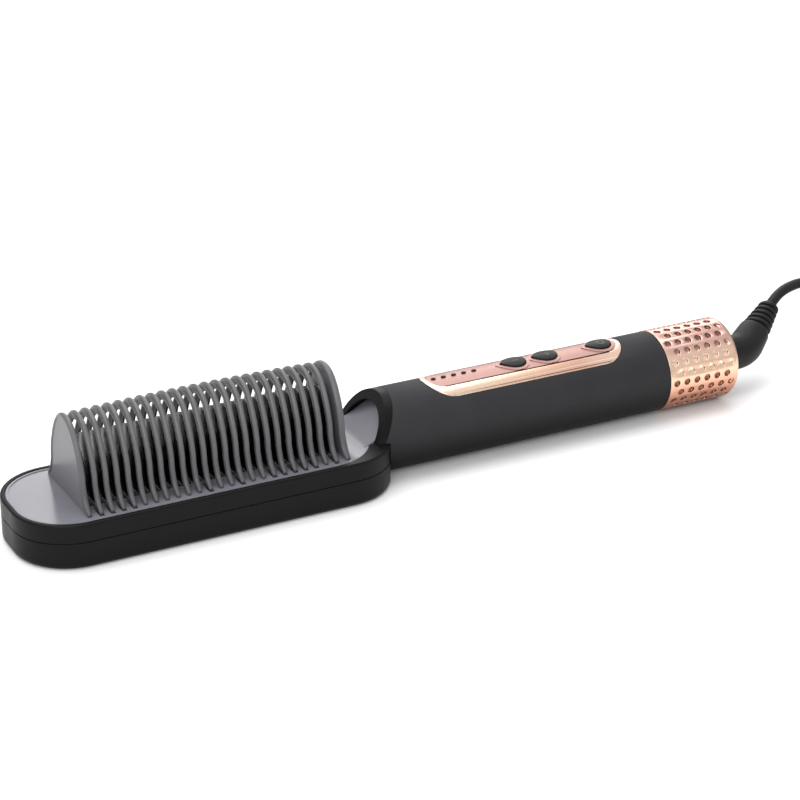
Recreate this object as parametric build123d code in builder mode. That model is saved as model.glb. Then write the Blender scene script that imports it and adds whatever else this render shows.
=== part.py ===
from build123d import *
import math
import os

# Hair straightening brush, lying on a table. +X runs from the comb tip to the cord end,
# +Z is up, and the table is Z = 0. All sizes are in millimetres.

# Overall sizes
head_length = 143.0
head_width = 50.0
head_nose = 8.0
head_height = 17.0
handle_length = 148.4
handle_diameter = 31.0
collar_step = 0.4
collar_length = 31.7

# Walls, seams and clearances
seam_height = 10.2
seam_groove_width = 0.4
seam_groove_depth = 0.35
shell_wall = 2.0
base_edge = 2.5
rim_edge = 0.8
rim_width = 1.9
ledge_width = 1.5
seat_gap = 0.15
slide_gap = 0.1
sleeve_wall = 1.3

# Neck between the head and the handle
neck_setback = 8.7
neck_lean = 0.55
neck_band = 3.2
neck_opening_width = 25.2
neck_opening_height = 23.8
spigot_length = 11.0

# Comb cover
plate_thickness = 2.8
plate_drop = 0.6
tray_lip = 0.9
tray_lip_rise = 0.3
tray_taper_start = 29.0
tray_taper_end = 10.5
scoop_radius = 20.0
scoop_centre = 17.0
scoop_depth = 5.5
scoop_drop = 0.4
rib_count = 23
rib_pitch = 4.05
rib_thickness = 1.7
rib_depth = 3.6
rib_bead = 1.9
rib_web = 1.0
rib_first = 27.2
rib_flare = 5.1
rib_leg_rise = 8.6
rib_knee_rise = 5.2
rib_margin = 2.8
rib_crest_rise = 30.7
rib_crown = 0.8
shield_thickness = 2.6
shield_growth = 0.5
window_margin = 0.6
window_inside = 0.2

# Heater stack under the comb cover
gasket_thickness = 0.8
flange_thickness = 2.0
flange_margin = 2.6
pad_gap = 0.8
pad_drop = 0.9
fin_thickness = 0.9
fin_inside = 1.6
fin_crest_rise = 22.1
element_thickness = 1.5
element_length = 40.0
element_margin = 3.4
sensor_gap = 10.0
sensor_clear = 0.05
sensor_play = 1.0
thermistor_radius = 1.1
thermistor_length = 4.5
thermistor_offset = 2.4
fuse_radius = 1.4
fuse_length = 9.0
fuse_offset = 1.9
sheet_thickness = 0.4
clamp_thickness = 1.0
clamp_margin = 5.0
post_margin = 3.0
post_inset = 5.0
post_radius = 2.2
small_pilot = 1.0
small_head = 2.1
small_head_height = 1.3

# Screws that close the head
boss_radius = 3.7
head_screw_radius = 1.25
head_screw_head = 2.6
head_screw_head_height = 1.7
counterbore_radius = 2.9
counterbore_depth = 4.0
thread_gap = 0.05
screw_bite = 1.2
screw_reach = 1.0
screw_slot_length = 1.1
screw_slot_width = 0.25
boss_pin_inset = 0.7
boss_pin_sink = 0.5
tip_screw = 14.0
tip_screw_spread = 20.0
tail_screw = 14.5
tail_screw_spread = 18.0

# Control panel, buttons and lights
panel_start = 17.7
panel_back = 15.1
panel_width = 19.8
panel_rise = 0.15
panel_hook = 1.5
panel_inner_gap = 1.3
insert_width = 11.6
insert_margin = 2.0
insert_thickness = 1.9
insert_cut = 5.0
window_inset = 0.8
button_backs = (44.7, 31.2, 7.7)
button_length = 10.6
button_width = 8.2
button_rise = 0.85
button_gap = 0.2
button_round = 0.3
button_point = 1.6
button_arc = 156.0
bezel_width = 1.1
bezel_rise = 0.3
button_flange = 0.45
button_flange_height = 0.8
button_stem = 2.0
button_travel = 0.6
light_count = 5
light_first = 4.6
light_pitch = 4.23
light_length = 2.1
light_width = 0.8
light_bar = 3.0
light_bar_height = 1.2
light_drop = 0.25
light_leg_gap = 0.4
light_leg_radius = 0.8

# Circuit board and its carrier
board_rise = 4.0
board_thickness = 1.6
board_width = 22.0
board_lead = 12.0
board_clear = 1.5
carrier_wall = 1.6
carrier_gap = 0.2
rail_overlap = 1.6
rail_root = 0.5
board_post_radius = 2.6
switch_size = 6.0
switch_height = 3.2
plunger_radius = 1.7
plunger_height = 1.2
led_height = 0.9
board_screw_inset = 3.5
small_screw_length = 5.0
rail_height = 2.0
led_length = 2.0
led_width = 1.25
capacitor_place = 35.0
capacitor_length = 15.0
capacitor_width = 7.0
capacitor_height = 10.0
triac_place = 60.0
triac_length = 4.4
triac_width = 10.0
triac_height = 9.0
triac_tab = 1.2
triac_tab_height = 5.0

# Tail, swivel and contacts
collar_wall = 1.2
collar_round = 2.4
collar_lip = 11.0
dimple_rows = 24
dimple_count = 6
dimple_pitch = 4.55
dimple_diameter = 2.7
dimple_depth = 0.7
liner_wall = 1.7
liner_overlap = 8.0
shoulder_width = 2.0
shoulder_sink = 0.2
cap_thickness = 3.8
cap_round = 1.2
journal_radius = 7.0
journal_gap = 0.08
journal_flange = 9.0
flange_width = 3.0
spindle_radius = 5.0
spindle_length = 9.6
ring_thickness = 0.9
ring_width = 2.2
ring_spacing = 3.6
ring_lead = 0.8
blade_thickness = 0.5
blade_width = 3.0
contact_gap = 0.25
block_thickness = 5.0
block_gap = 1.0

# Strain relief and cord
boot_radius = 6.9
boot_run = 12.8
boot_leg = 25.6
boot_bend = 10.0
boot_angle = 38.0
boot_turn = 48.5
boot_shoulder = 5.7
boot_tip = 4.2
boot_ridges = 5
boot_ridge_depth = 0.9
boot_plain_share = 0.45
ridge_lead = 0.6
ridge_rise = 0.35
ridge_fall = 0.75
cord_diameter = 4.2
cord_start = 6.0
cord_bend_share = 0.45
cord_points = (
    (189.8, 17.9, 29.9),
    (202.0, 22.6, 28.8),
    (215.5, 28.0, 21.2),
    (229.0, 33.2, 8.6),
    (239.5, 37.8, 2.1),
    (252.0, 43.2, 2.1),
)
coil_centre = (268.0, 14.0)
coil_radius = 25.2
coil_across = 5
coil_layers = 2
tail_points = (
    (246.6, -12.3, 6.3),
    (240.9, -6.6, 8.0),
    (238.1, 2.1, 10.5),
    (239.5, 11.1, 12.4),
    (244.9, 18.5, 14.2),
    (253.0, 22.6, 15.4),
    (260.5, 22.6, 15.4),
)
lead_diameter = 1.3
heater_lead_start = 3.0
heater_lead_points = (
    (-18.0, 3.3, 10.05),
    (0.0, 4.4, 9.0),
    (13.0, 5.4, 12.0),
)
supply_lead_points = (
    (112.0, 6.8, 14.2),
    (103.5, 7.2, 13.4),
)
lead_pad_inset = 6.5
heater_pad_spread = 5.8
supply_pad_spread = 7.4
plug_length = 36.0
plug_width = 35.0
plug_height = 14.0
plug_throat = 8.0
plug_corner = 5.0
plug_throat_wall = 1.6
pin_radius = 2.0
pin_spread = 19.0
pin_length = 19.0
pin_round = 0.8

# Worked out from the sizes above
body_length = head_length + handle_length
tip = -body_length / 2
tail_end = body_length / 2
head_corner = (head_width - head_nose) / 2
handle_radius = handle_diameter / 2
collar_radius = handle_radius + collar_step / 2
axis_height = collar_radius
bore_radius = handle_radius - sleeve_wall
spigot_radius = bore_radius - slide_gap
head_centre = tip + head_length / 2
head_end = tip + head_length
neck_front = head_end - neck_setback
spigot_end = head_end + spigot_length
plate_top = head_height - plate_drop
plate_bottom = plate_top - plate_thickness
rib_foot = head_width / 2 - rim_width - rib_margin
rib_shoulder = plate_top + rib_leg_rise
rib_knee = plate_top + rib_knee_rise
rib_crest = plate_top + rib_crest_rise
fin_crest = plate_top + fin_crest_rise
rib_half_width = rib_foot - rib_flare
rib_last = rib_first + (rib_count - 1) * rib_pitch
shield_offset = rib_pitch + (shield_thickness - rib_thickness) / 2
window_start = tip + rib_first - rib_pitch + window_margin
window_end = tip + rib_last + rib_pitch - window_margin
window_length = window_end - window_start
window_width = 2 * (rib_half_width - rib_depth - window_inside)
fin_half_width = window_width / 2 - fin_inside
element_width = window_width - 2 * element_margin
clamp_width = head_width - 2 * clamp_margin
post_spread = clamp_width - 2 * post_margin
window_centre = (window_start + window_end) / 2
flange_top = plate_bottom - gasket_thickness
flange_bottom = flange_top - flange_thickness
element_bottom = flange_bottom - element_thickness
sheet_bottom = element_bottom - sheet_thickness
clamp_bottom = sheet_bottom - clamp_thickness
collar_start = tail_end - collar_length
cap_end = tail_end - collar_wall - slide_gap
cap_start = cap_end - cap_thickness
board_bottom = axis_height + board_rise
board_top = board_bottom + board_thickness
switch_top = board_top + switch_height + plunger_height
insert_bottom = axis_height + handle_radius - insert_thickness
panel_tip = head_end + panel_start
panel_length = collar_start - panel_back - panel_tip
panel_centre = panel_tip + panel_length / 2
button_places = [panel_length - back for back in button_backs]
board_start = head_end + board_lead
board_length = collar_start - liner_overlap - board_clear - board_start
cord_radius = cord_diameter / 2

front_plane = Plane(
    origin=(neck_front, 0, head_height), x_dir=(0, 1, 0), z_dir=(1, 0, -neck_lean)
)
joint_plane = Plane(
    origin=(neck_front + neck_band, 0, head_height), x_dir=(0, 1, 0), z_dir=(1, 0, -neck_lean)
)
scoop_plane = Plane(
    origin=(neck_front + scoop_depth, 0, head_height), x_dir=(0, 1, 0), z_dir=(1, 0, -neck_lean)
)
seam_plane = Plane.XY.offset(seam_height)

parts = {}


def keep(name, solid):
    """Label a finished piece and put it on the list of pieces to write."""
    solid.label = name
    parts[name] = solid


def across(x):
    """Plane across the handle at x: its local x is Y, its local y is Z, and it faces +X."""
    return Plane(origin=(x, 0, 0), x_dir=(0, 1, 0), z_dir=(1, 0, 0))


def tray_outline(growth):
    """Outline of the comb cover, wide along the comb and drawn in towards the neck."""
    half = head_width / 2 - rim_width
    nose = head_width / 2 - head_corner
    neck = neck_opening_width / 2 - seat_gap
    start = tip + rim_width
    with BuildSketch(mode=Mode.PRIVATE) as outline:
        with BuildLine():
            Line((start, 0), (start, nose))
            TangentArc((start, nose), (tip + head_corner, half), tangent=(0, 1))
            Line((tip + head_corner, half), (head_end - tray_taper_start, half))
            TangentArc((head_end - tray_taper_start, half), (head_end - tray_taper_end, neck), tangent=(1, 0))
            Line((head_end - tray_taper_end, neck), (neck_front + 2, neck))
            Line((neck_front + 2, neck), (neck_front + 2, 0))
            mirror(about=Plane.XZ)
        make_face()
        if growth:
            offset(amount=growth)
    return outline.sketch


def rib_outline(growth, crest):
    """Outer outline of one comb rib: flared feet under straight legs and half an ellipse."""
    wide = rib_half_width + growth
    foot = rib_foot + growth
    with BuildSketch(mode=Mode.PRIVATE) as outline:
        with Locations((0, rib_shoulder)):
            Ellipse(wide, crest + growth - rib_shoulder)
        with BuildLine():
            Polyline(
                (-wide, rib_shoulder), (wide, rib_shoulder), (wide, rib_knee),
                (foot, plate_top), (-foot, plate_top), (-wide, rib_knee), close=True,
            )
        make_face()
        with Locations((0, plate_top - rib_crest / 2)):
            Rectangle(4 * rib_half_width, rib_crest, mode=Mode.SUBTRACT)
    return outline.sketch


def teardrop(growth):
    """Button outline, round towards the cord and pointed towards the comb."""
    radius = button_width / 2 + growth
    point = button_length - button_width / 2 + growth * button_point
    with BuildSketch(mode=Mode.PRIVATE) as outline:
        with BuildLine():
            arc = CenterArc((0, 0), radius, -button_arc / 2, button_arc)
            Spline((arc @ 1), (-point, 0), tangents=((-1, 0.21), (-0.62, -1)))
            Spline((-point, 0), (arc @ 0), tangents=((0.62, -1), (1, 0.21)))
        make_face()
    return outline.sketch


def cord_tube(points, radius):
    """Round tube through the points, with an arc at each one as large as its two runs allow."""
    steps = [Vector(*b) - Vector(*a) for a, b in zip(points, points[1:])]
    radii = []
    for before, after in zip(steps, steps[1:]):
        turn = math.radians(before.get_angle(after))
        radii.append(cord_bend_share * min(before.length, after.length) / math.tan(turn / 2))
    with BuildPart() as tube:
        with BuildLine() as path:
            FilletPolyline(*points, radius=radii)
        with BuildSketch(Plane(origin=points[0], z_dir=steps[0])):
            Circle(radius)
        sweep(path=path.line)
    length = sum(edge.length for edge in path.edges())
    expected = math.pi * radius**2 * length
    print("radii", [round(r, 1) for r in radii], "length", round(length, 1))
    print("volume", round(tube.part.volume, 1), "expected", round(expected, 1))
    return tube.part


# The neck joins the head to the handle: a band with a slanted front, and a spigot for the sleeve.
with BuildPart() as neck_ring:
    with BuildSketch(across(neck_front - handle_diameter)):
        with Locations((0, axis_height)):
            Circle(handle_radius)
    extrude(amount=2 * handle_diameter)
    split(bisect_by=front_plane, keep=Keep.TOP)
    split(bisect_by=joint_plane, keep=Keep.BOTTOM)

with BuildPart() as neck:
    with BuildSketch(across(neck_front - handle_diameter)):
        with Locations((0, axis_height)):
            Circle(spigot_radius)
    extrude(amount=spigot_end - neck_front + handle_diameter)
    split(bisect_by=front_plane, keep=Keep.TOP)
    add(neck_ring.part)

# Thin groove that shows where the two halves of the head meet
with BuildPart() as seam_groove:
    with BuildSketch(Plane.XY.offset(seam_height - seam_groove_width / 2)):
        with Locations((head_centre, 0)):
            RectangleRounded(head_length + 2, head_width + 2, head_corner + 1)
            RectangleRounded(
                head_length - 2 * seam_groove_depth, head_width - 2 * seam_groove_depth,
                head_corner - seam_groove_depth, mode=Mode.SUBTRACT,
            )
    extrude(amount=seam_groove_width)

# Lower half of the head casing, with the bosses that the head screws pass through
screw_places = [
    (tip + tip_screw, tip_screw_spread / 2),
    (tip + tip_screw, -tip_screw_spread / 2),
    (head_end - tail_screw, tail_screw_spread / 2),
    (head_end - tail_screw, -tail_screw_spread / 2),
]

with BuildPart() as lower_shell:
    with BuildSketch():
        with Locations((head_centre, 0)):
            RectangleRounded(head_length, head_width, head_corner)
    extrude(amount=seam_height)
    fillet(lower_shell.edges().group_by(Axis.Z)[0], base_edge)
    with BuildSketch(Plane.XY.offset(shell_wall)):
        with Locations((head_centre, 0)):
            RectangleRounded(
                head_length - 2 * shell_wall, head_width - 2 * shell_wall, head_corner - shell_wall,
            )
    extrude(amount=seam_height, mode=Mode.SUBTRACT)
    add(seam_groove.part, mode=Mode.SUBTRACT)
    add(neck.part)
    split(bisect_by=seam_plane, keep=Keep.BOTTOM)
    with BuildSketch(across(neck_front - handle_radius)):
        with Locations((0, axis_height)):
            Ellipse(neck_opening_width / 2, neck_opening_height / 2)
    extrude(amount=spigot_length + handle_diameter, mode=Mode.SUBTRACT)
    with BuildSketch(Plane.XY.offset(shell_wall / 2)):
        with Locations(*screw_places):
            Circle(boss_radius)
    extrude(amount=seam_height - shell_wall / 2)
    with BuildSketch():
        with Locations(*screw_places):
            Circle(head_screw_radius + slide_gap)
    extrude(amount=seam_height, mode=Mode.SUBTRACT)
    with BuildSketch():
        with Locations(*screw_places):
            Circle(counterbore_radius)
    extrude(amount=counterbore_depth, mode=Mode.SUBTRACT)
keep("lower_shell", lower_shell.part)

# Upper half of the head casing: the rim round the comb cover, and the top of the neck
with BuildPart() as upper_shell:
    with BuildSketch(seam_plane):
        with Locations((head_centre, 0)):
            RectangleRounded(head_length, head_width, head_corner)
    extrude(amount=head_height - seam_height)
    fillet(upper_shell.edges().group_by(Axis.Z)[-1], rim_edge)
    add(seam_groove.part, mode=Mode.SUBTRACT)
    add(neck.part)
    split(bisect_by=seam_plane, keep=Keep.TOP)
    with BuildSketch(Plane.XY.offset(plate_bottom)):
        add(tray_outline(seat_gap))
    extrude(amount=head_height - plate_bottom, mode=Mode.SUBTRACT)
    with BuildSketch(seam_plane):
        add(tray_outline(-ledge_width))
    extrude(amount=head_height - seam_height, mode=Mode.SUBTRACT)
    with BuildSketch(across(neck_front - handle_radius)):
        with Locations((0, axis_height)):
            Ellipse(neck_opening_width / 2, neck_opening_height / 2)
    extrude(amount=spigot_length + handle_diameter, mode=Mode.SUBTRACT)
keep("upper_shell", upper_shell.part)

# Comb cover: the grey tray with its scooped end, 23 arched ribs and the two end shields
clamp_places = [
    (x, y)
    for x in (window_start + post_inset, window_end - post_inset)
    for y in (-post_spread / 2, post_spread / 2)
]

with BuildPart() as scoop:
    with BuildSketch(across(head_end - scoop_centre)):
        with Locations((0, axis_height)):
            Ellipse(neck_opening_width / 2 - seat_gap, neck_opening_height / 2 - seat_gap)
    extrude(amount=handle_diameter + scoop_depth)
    split(bisect_by=scoop_plane, keep=Keep.BOTTOM)
    split(bisect_by=Plane.XY.offset(plate_bottom), keep=Keep.TOP)
    with BuildSketch(Plane.XZ.offset(-head_width / 2)):
        with Locations((head_end - scoop_centre, plate_top - scoop_drop + scoop_radius)):
            Circle(scoop_radius)
    extrude(amount=head_width, mode=Mode.SUBTRACT)

with BuildPart() as comb_cover:
    with BuildSketch(Plane.XY.offset(plate_bottom)):
        add(tray_outline(0))
    extrude(amount=plate_thickness)
    with BuildSketch(Plane.XY.offset(plate_top)):
        add(tray_outline(0))
        add(tray_outline(-tray_lip), mode=Mode.SUBTRACT)
    extrude(amount=tray_lip_rise)
    with BuildSketch(Plane.XZ.offset(-head_width / 2)):
        with Locations((head_end - scoop_centre, plate_top - scoop_drop + scoop_radius)):
            Circle(scoop_radius)
    extrude(amount=head_width, mode=Mode.SUBTRACT)
    add(scoop.part)
    with BuildSketch(Plane.XY.offset(plate_bottom)):
        with Locations((window_centre, 0)):
            Rectangle(window_length, window_width)
    extrude(amount=plate_thickness, mode=Mode.SUBTRACT)
    for index in range(rib_count):
        along = 2 * index / (rib_count - 1) - 1
        crest = rib_crest + rib_crown * (1 - along**2)
        for thickness, outside, inside in ((rib_thickness, 0, rib_bead), (rib_web, rib_bead / 2, rib_depth)):
            with BuildSketch(across(tip + rib_first + index * rib_pitch - thickness / 2)):
                add(rib_outline(-outside, crest))
                with Locations((0, rib_shoulder)):
                    Ellipse(rib_half_width - inside, crest - inside - rib_shoulder, mode=Mode.SUBTRACT)
                with Locations((0, rib_shoulder / 2)):
                    Rectangle(2 * (rib_half_width - inside), rib_shoulder, mode=Mode.SUBTRACT)
            extrude(amount=thickness)
    for place in (rib_first - shield_offset, rib_last + shield_offset):
        with BuildSketch(across(tip + place - shield_thickness / 2)):
            add(rib_outline(shield_growth, rib_crest - shield_growth))
        extrude(amount=shield_thickness)
    with BuildSketch(Plane.XY.offset(seam_height)):
        with Locations(*screw_places):
            Circle(boss_radius - boss_pin_inset)
    extrude(amount=plate_bottom - seam_height + boss_pin_sink)
    with BuildSketch(Plane.XY.offset(sheet_bottom)):
        with Locations(*clamp_places):
            Circle(post_radius)
    extrude(amount=plate_bottom - sheet_bottom + boss_pin_sink)
    with BuildSketch(Plane.XY.offset(seam_height)):
        with Locations(*screw_places):
            Circle(head_screw_radius + thread_gap)
    extrude(amount=plate_bottom + screw_bite - seam_height, mode=Mode.SUBTRACT)
    with BuildSketch(Plane.XY.offset(sheet_bottom)):
        with Locations(*clamp_places):
            Circle(small_pilot + thread_gap)
    extrude(amount=plate_bottom - sheet_bottom, mode=Mode.SUBTRACT)
keep("comb_cover", comb_cover.part)

# Heating plate: a flange under the tray, a pad through its window and a fin in every gap of the comb
with BuildPart() as heating_plate:
    with BuildSketch(Plane.XY.offset(flange_bottom)):
        with Locations((window_centre, 0)):
            Rectangle(window_length + 2 * flange_margin, window_width + 2 * flange_margin)
    extrude(amount=flange_thickness)
    with BuildSketch(Plane.XY.offset(flange_top)):
        with Locations((window_centre, 0)):
            Rectangle(window_length - 2 * pad_gap, window_width - 2 * pad_gap)
    extrude(amount=plate_top - flange_top - pad_drop)
    for index in range(rib_count + 1):
        middle = tip + rib_first + (index - 0.5) * rib_pitch
        with BuildSketch(across(middle - fin_thickness / 2)):
            with Locations((0, rib_shoulder)):
                Ellipse(fin_half_width, fin_crest - rib_shoulder)
            with Locations((0, (flange_top + rib_shoulder) / 2)):
                Rectangle(2 * fin_half_width, rib_shoulder - flange_top)
        extrude(amount=fin_thickness)
keep("heating_plate", heating_plate.part)

with BuildPart() as gasket:
    with BuildSketch(Plane.XY.offset(flange_top)):
        with Locations((window_centre, 0)):
            Rectangle(window_length + 2 * flange_margin, window_width + 2 * flange_margin)
            Rectangle(window_length, window_width, mode=Mode.SUBTRACT)
    extrude(amount=gasket_thickness)
keep("heater_gasket", gasket.part)

element_offset = (element_length + sensor_gap) / 2
with BuildPart() as heater_elements:
    with BuildSketch(Plane.XY.offset(element_bottom)):
        with Locations((window_centre - element_offset, 0), (window_centre + element_offset, 0)):
            Rectangle(element_length, element_width)
    extrude(amount=element_thickness)
keep("heater_elements", heater_elements.part)

with BuildPart() as insulation:
    with BuildSketch(Plane.XY.offset(sheet_bottom)):
        with Locations((window_centre, 0)):
            Rectangle(window_length, window_width)
            Rectangle(sensor_gap - sensor_play, element_width, mode=Mode.SUBTRACT)
    extrude(amount=sheet_thickness)
keep("insulation_sheet", insulation.part)

with BuildPart() as clamp_plate:
    with BuildSketch(Plane.XY.offset(clamp_bottom)):
        with Locations((window_centre, 0)):
            Rectangle(window_length, clamp_width)
            Rectangle(sensor_gap - sensor_play, element_width, mode=Mode.SUBTRACT)
        with Locations(*clamp_places):
            Circle(small_pilot + slide_gap, mode=Mode.SUBTRACT)
    extrude(amount=clamp_thickness)
keep("clamp_plate", clamp_plate.part)

# Thermistor bead and thermal fuse, between the two heater elements, against the heating plate
with BuildPart() as thermistor:
    with BuildSketch(Plane.XZ):
        with Locations((window_centre - thermistor_offset, flange_bottom - thermistor_radius - sensor_clear)):
            Circle(thermistor_radius)
    extrude(amount=thermistor_length)
keep("thermistor", thermistor.part)

with BuildPart() as thermal_fuse:
    with BuildSketch(Plane.XZ.offset(fuse_length / 2)):
        with Locations((window_centre + fuse_offset, flange_bottom - fuse_radius - sensor_clear)):
            Circle(fuse_radius)
    extrude(amount=-fuse_length)
keep("thermal_fuse", thermal_fuse.part)


def screws(places, seat, radius, length, head_radius, head_height):
    """Group of equal screws that point up: heads under the seat height, shanks above it."""
    with BuildPart() as group:
        with BuildSketch(Plane.XY.offset(seat - head_height)):
            with Locations(*places):
                Circle(head_radius)
        extrude(amount=head_height)
        with BuildSketch(Plane.XY.offset(seat)):
            with Locations(*places):
                Circle(radius)
        extrude(amount=length)
        with BuildSketch(Plane.XY.offset(seat - head_height)):
            with Locations(*places):
                Rectangle(head_radius * screw_slot_length, head_radius * screw_slot_width)
                Rectangle(head_radius * screw_slot_width, head_radius * screw_slot_length)
        extrude(amount=head_height / 2, mode=Mode.SUBTRACT)
    return group.part


keep(
    "clamp_screws",
    screws(clamp_places, clamp_bottom, small_pilot, small_screw_length, small_head, small_head_height),
)
keep(
    "head_screws",
    screws(
        screw_places, counterbore_depth, head_screw_radius, plate_bottom + screw_reach - counterbore_depth,
        head_screw_head, head_screw_head_height,
    ),
)

# Handle sleeve: a plain tube with a slanted front edge and the opening for the control panel
with BuildPart() as handle_sleeve:
    with BuildSketch(across(neck_front - handle_diameter)):
        with Locations((0, axis_height)):
            Circle(handle_radius)
            Circle(bore_radius, mode=Mode.SUBTRACT)
    extrude(amount=collar_start - neck_front + handle_diameter)
    split(bisect_by=joint_plane.offset(slide_gap), keep=Keep.TOP)
    with BuildSketch():
        with Locations((head_centre, 0)):
            RectangleRounded(head_length + 2 * slide_gap, head_width + 2 * slide_gap, head_corner + slide_gap)
    extrude(amount=head_height + slide_gap, mode=Mode.SUBTRACT)
    with BuildSketch(Plane.XY.offset(axis_height)):
        with Locations((panel_centre, 0)):
            SlotOverall(panel_length + 2 * slide_gap, panel_width + 2 * slide_gap)
    extrude(amount=handle_diameter, mode=Mode.SUBTRACT)
keep("handle_sleeve", handle_sleeve.part)

# Control panel frame: its skin fills the opening and its hooks hold it from inside the sleeve
panel_inner = spigot_radius - panel_inner_gap
with BuildPart() as hook_cut:
    with BuildSketch(Plane.XY.offset(axis_height)):
        with Locations((panel_centre, 0)):
            Rectangle(panel_length + 10, panel_width + 10)
            SlotOverall(panel_length, panel_width, mode=Mode.SUBTRACT)
    extrude(amount=handle_diameter)
    with BuildSketch(across(panel_centre - panel_length)):
        with Locations((0, axis_height)):
            Circle(spigot_radius)
    extrude(amount=2 * panel_length, mode=Mode.SUBTRACT)

insert_length = panel_length - 2 * insert_margin
with BuildPart() as panel_frame:
    with BuildSketch(Plane.XY.offset(axis_height)):
        with Locations((panel_centre, 0)):
            SlotOverall(panel_length + 2 * panel_hook, panel_width + 2 * panel_hook)
    extrude(amount=handle_diameter)
    with BuildSketch(across(panel_centre - panel_length)):
        with Locations((0, axis_height)):
            Circle(handle_radius + panel_rise)
            Circle(panel_inner, mode=Mode.SUBTRACT)
    extrude(amount=2 * panel_length, mode=Mode.INTERSECT)
    add(hook_cut.part, mode=Mode.SUBTRACT)
    with BuildSketch(Plane.XY.offset(insert_bottom)):
        with Locations((panel_centre, 0)):
            SlotOverall(insert_length + 2 * slide_gap, insert_width + 2 * slide_gap)
    extrude(amount=insert_cut, mode=Mode.SUBTRACT)
    with BuildSketch(Plane.XY.offset(axis_height)):
        with Locations((panel_centre, 0)):
            SlotOverall(insert_length - 2 * window_inset, insert_width - 2 * window_inset)
    extrude(amount=handle_radius, mode=Mode.SUBTRACT)
keep("panel_frame", panel_frame.part)

# Low bezels that stand round the buttons
with BuildPart() as bezels:
    with BuildSketch(Plane.XY.offset(insert_bottom)):
        for place in button_places:
            with Locations((panel_tip + place, 0)):
                add(teardrop(button_gap + bezel_width))
    extrude(amount=insert_cut)
    with BuildSketch(across(panel_centre - panel_length)):
        with Locations((0, axis_height)):
            Circle(handle_radius + bezel_rise)
    extrude(amount=2 * panel_length, mode=Mode.INTERSECT)

# Satin strip in the frame, with the button holes and the five light slots
light_places = [(panel_tip + light_first + index * light_pitch, 0) for index in range(light_count)]
with BuildPart() as panel_insert:
    with BuildSketch(Plane.XY.offset(insert_bottom)):
        with Locations((panel_centre, 0)):
            SlotOverall(insert_length, insert_width)
    extrude(amount=insert_cut)
    with BuildSketch(across(panel_centre - panel_length)):
        with Locations((0, axis_height)):
            Circle(handle_radius)
    extrude(amount=2 * panel_length, mode=Mode.INTERSECT)
    add(bezels.part)
    with BuildSketch(Plane.XY.offset(insert_bottom)):
        for place in button_places:
            with Locations((panel_tip + place, 0)):
                add(teardrop(button_gap))
        with Locations(*light_places):
            SlotOverall(light_length + slide_gap, light_width + slide_gap)
    extrude(amount=insert_cut, mode=Mode.SUBTRACT)
keep("panel_insert", panel_insert.part)

# Buttons: a domed cap, a flange under the strip and a stem that reaches down to its switch
button_top = axis_height + handle_radius + button_rise
for name, place in zip(("minus_button", "plus_button", "power_button"), button_places):
    with BuildPart() as button:
        with BuildSketch(Plane.XY.offset(insert_bottom - slide_gap - button_flange_height)):
            with Locations((panel_tip + place, 0)):
                add(teardrop(0))
        extrude(amount=button_top - (insert_bottom - slide_gap - button_flange_height))
        with BuildSketch(across(panel_tip + place - button_length)):
            with Locations((0, axis_height)):
                Circle(handle_radius + button_rise)
        extrude(amount=2 * button_length, mode=Mode.INTERSECT)
        fillet(button.edges().group_by(Axis.Z)[-1], button_round)
        with BuildSketch(Plane.XY.offset(insert_bottom - slide_gap - button_flange_height)):
            with Locations((panel_tip + place, 0)):
                add(teardrop(button_flange))
        extrude(amount=button_flange_height)
        with BuildSketch(Plane.XY.offset(switch_top + button_travel + slide_gap)):
            with Locations((panel_tip + place, 0)):
                Circle(button_stem)
        extrude(amount=insert_bottom - button_flange_height - switch_top - button_travel)
    keep(name, button.part)

# Light guide: one clear bar under the strip with a pip in every slot and a leg over every light
light_bar_top = insert_bottom - slide_gap
with BuildPart() as light_guide:
    with BuildSketch(Plane.XY.offset(light_bar_top - light_bar_height)):
        with Locations((panel_tip + light_first + (light_count - 1) * light_pitch / 2, 0)):
            Rectangle((light_count - 1) * light_pitch + light_bar, light_bar)
    extrude(amount=light_bar_height)
    with BuildSketch(Plane.XY.offset(light_bar_top)):
        with Locations(*light_places):
            SlotOverall(light_length, light_width)
    extrude(amount=axis_height + handle_radius - light_drop - light_bar_top)
    with BuildSketch(Plane.XY.offset(board_top + led_height + light_leg_gap)):
        with Locations(*light_places):
            Circle(light_leg_radius)
    extrude(amount=light_bar_top - light_bar_height - board_top - led_height - light_leg_gap)
keep("light_guide", light_guide.part)

# Carrier trough in the sleeve, with two rails and two posts for the circuit board
carrier_radius = bore_radius - carrier_gap
carrier_bore = carrier_radius - carrier_wall
rail_width = carrier_bore + rail_root - (board_width / 2 - rail_overlap)
board_centre = board_start + board_length / 2
board_screws = [
    (board_start + board_screw_inset, 0),
    (board_start + board_length - board_screw_inset, 0),
]
with BuildPart() as board_carrier:
    with BuildSketch(across(board_start)):
        with Locations((0, axis_height)):
            Circle(carrier_radius)
            Circle(carrier_bore, mode=Mode.SUBTRACT)
        with Locations((0, board_bottom + handle_radius)):
            Rectangle(handle_diameter, handle_diameter, mode=Mode.SUBTRACT)
        rail_middle = board_width / 2 - rail_overlap + rail_width / 2
        for side in (-1, 1):
            with Locations((side * rail_middle, board_bottom - rail_height / 2)):
                Rectangle(rail_width, rail_height)
    extrude(amount=board_length)
    with BuildSketch(Plane.XY.offset(axis_height - carrier_bore - carrier_wall / 2)):
        with Locations(*board_screws):
            Circle(board_post_radius)
    extrude(amount=board_bottom - (axis_height - carrier_bore - carrier_wall / 2))
    with BuildSketch(Plane.XY.offset(board_bottom - small_screw_length)):
        with Locations(*board_screws):
            Circle(small_pilot + thread_gap)
    extrude(amount=small_screw_length, mode=Mode.SUBTRACT)
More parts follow.
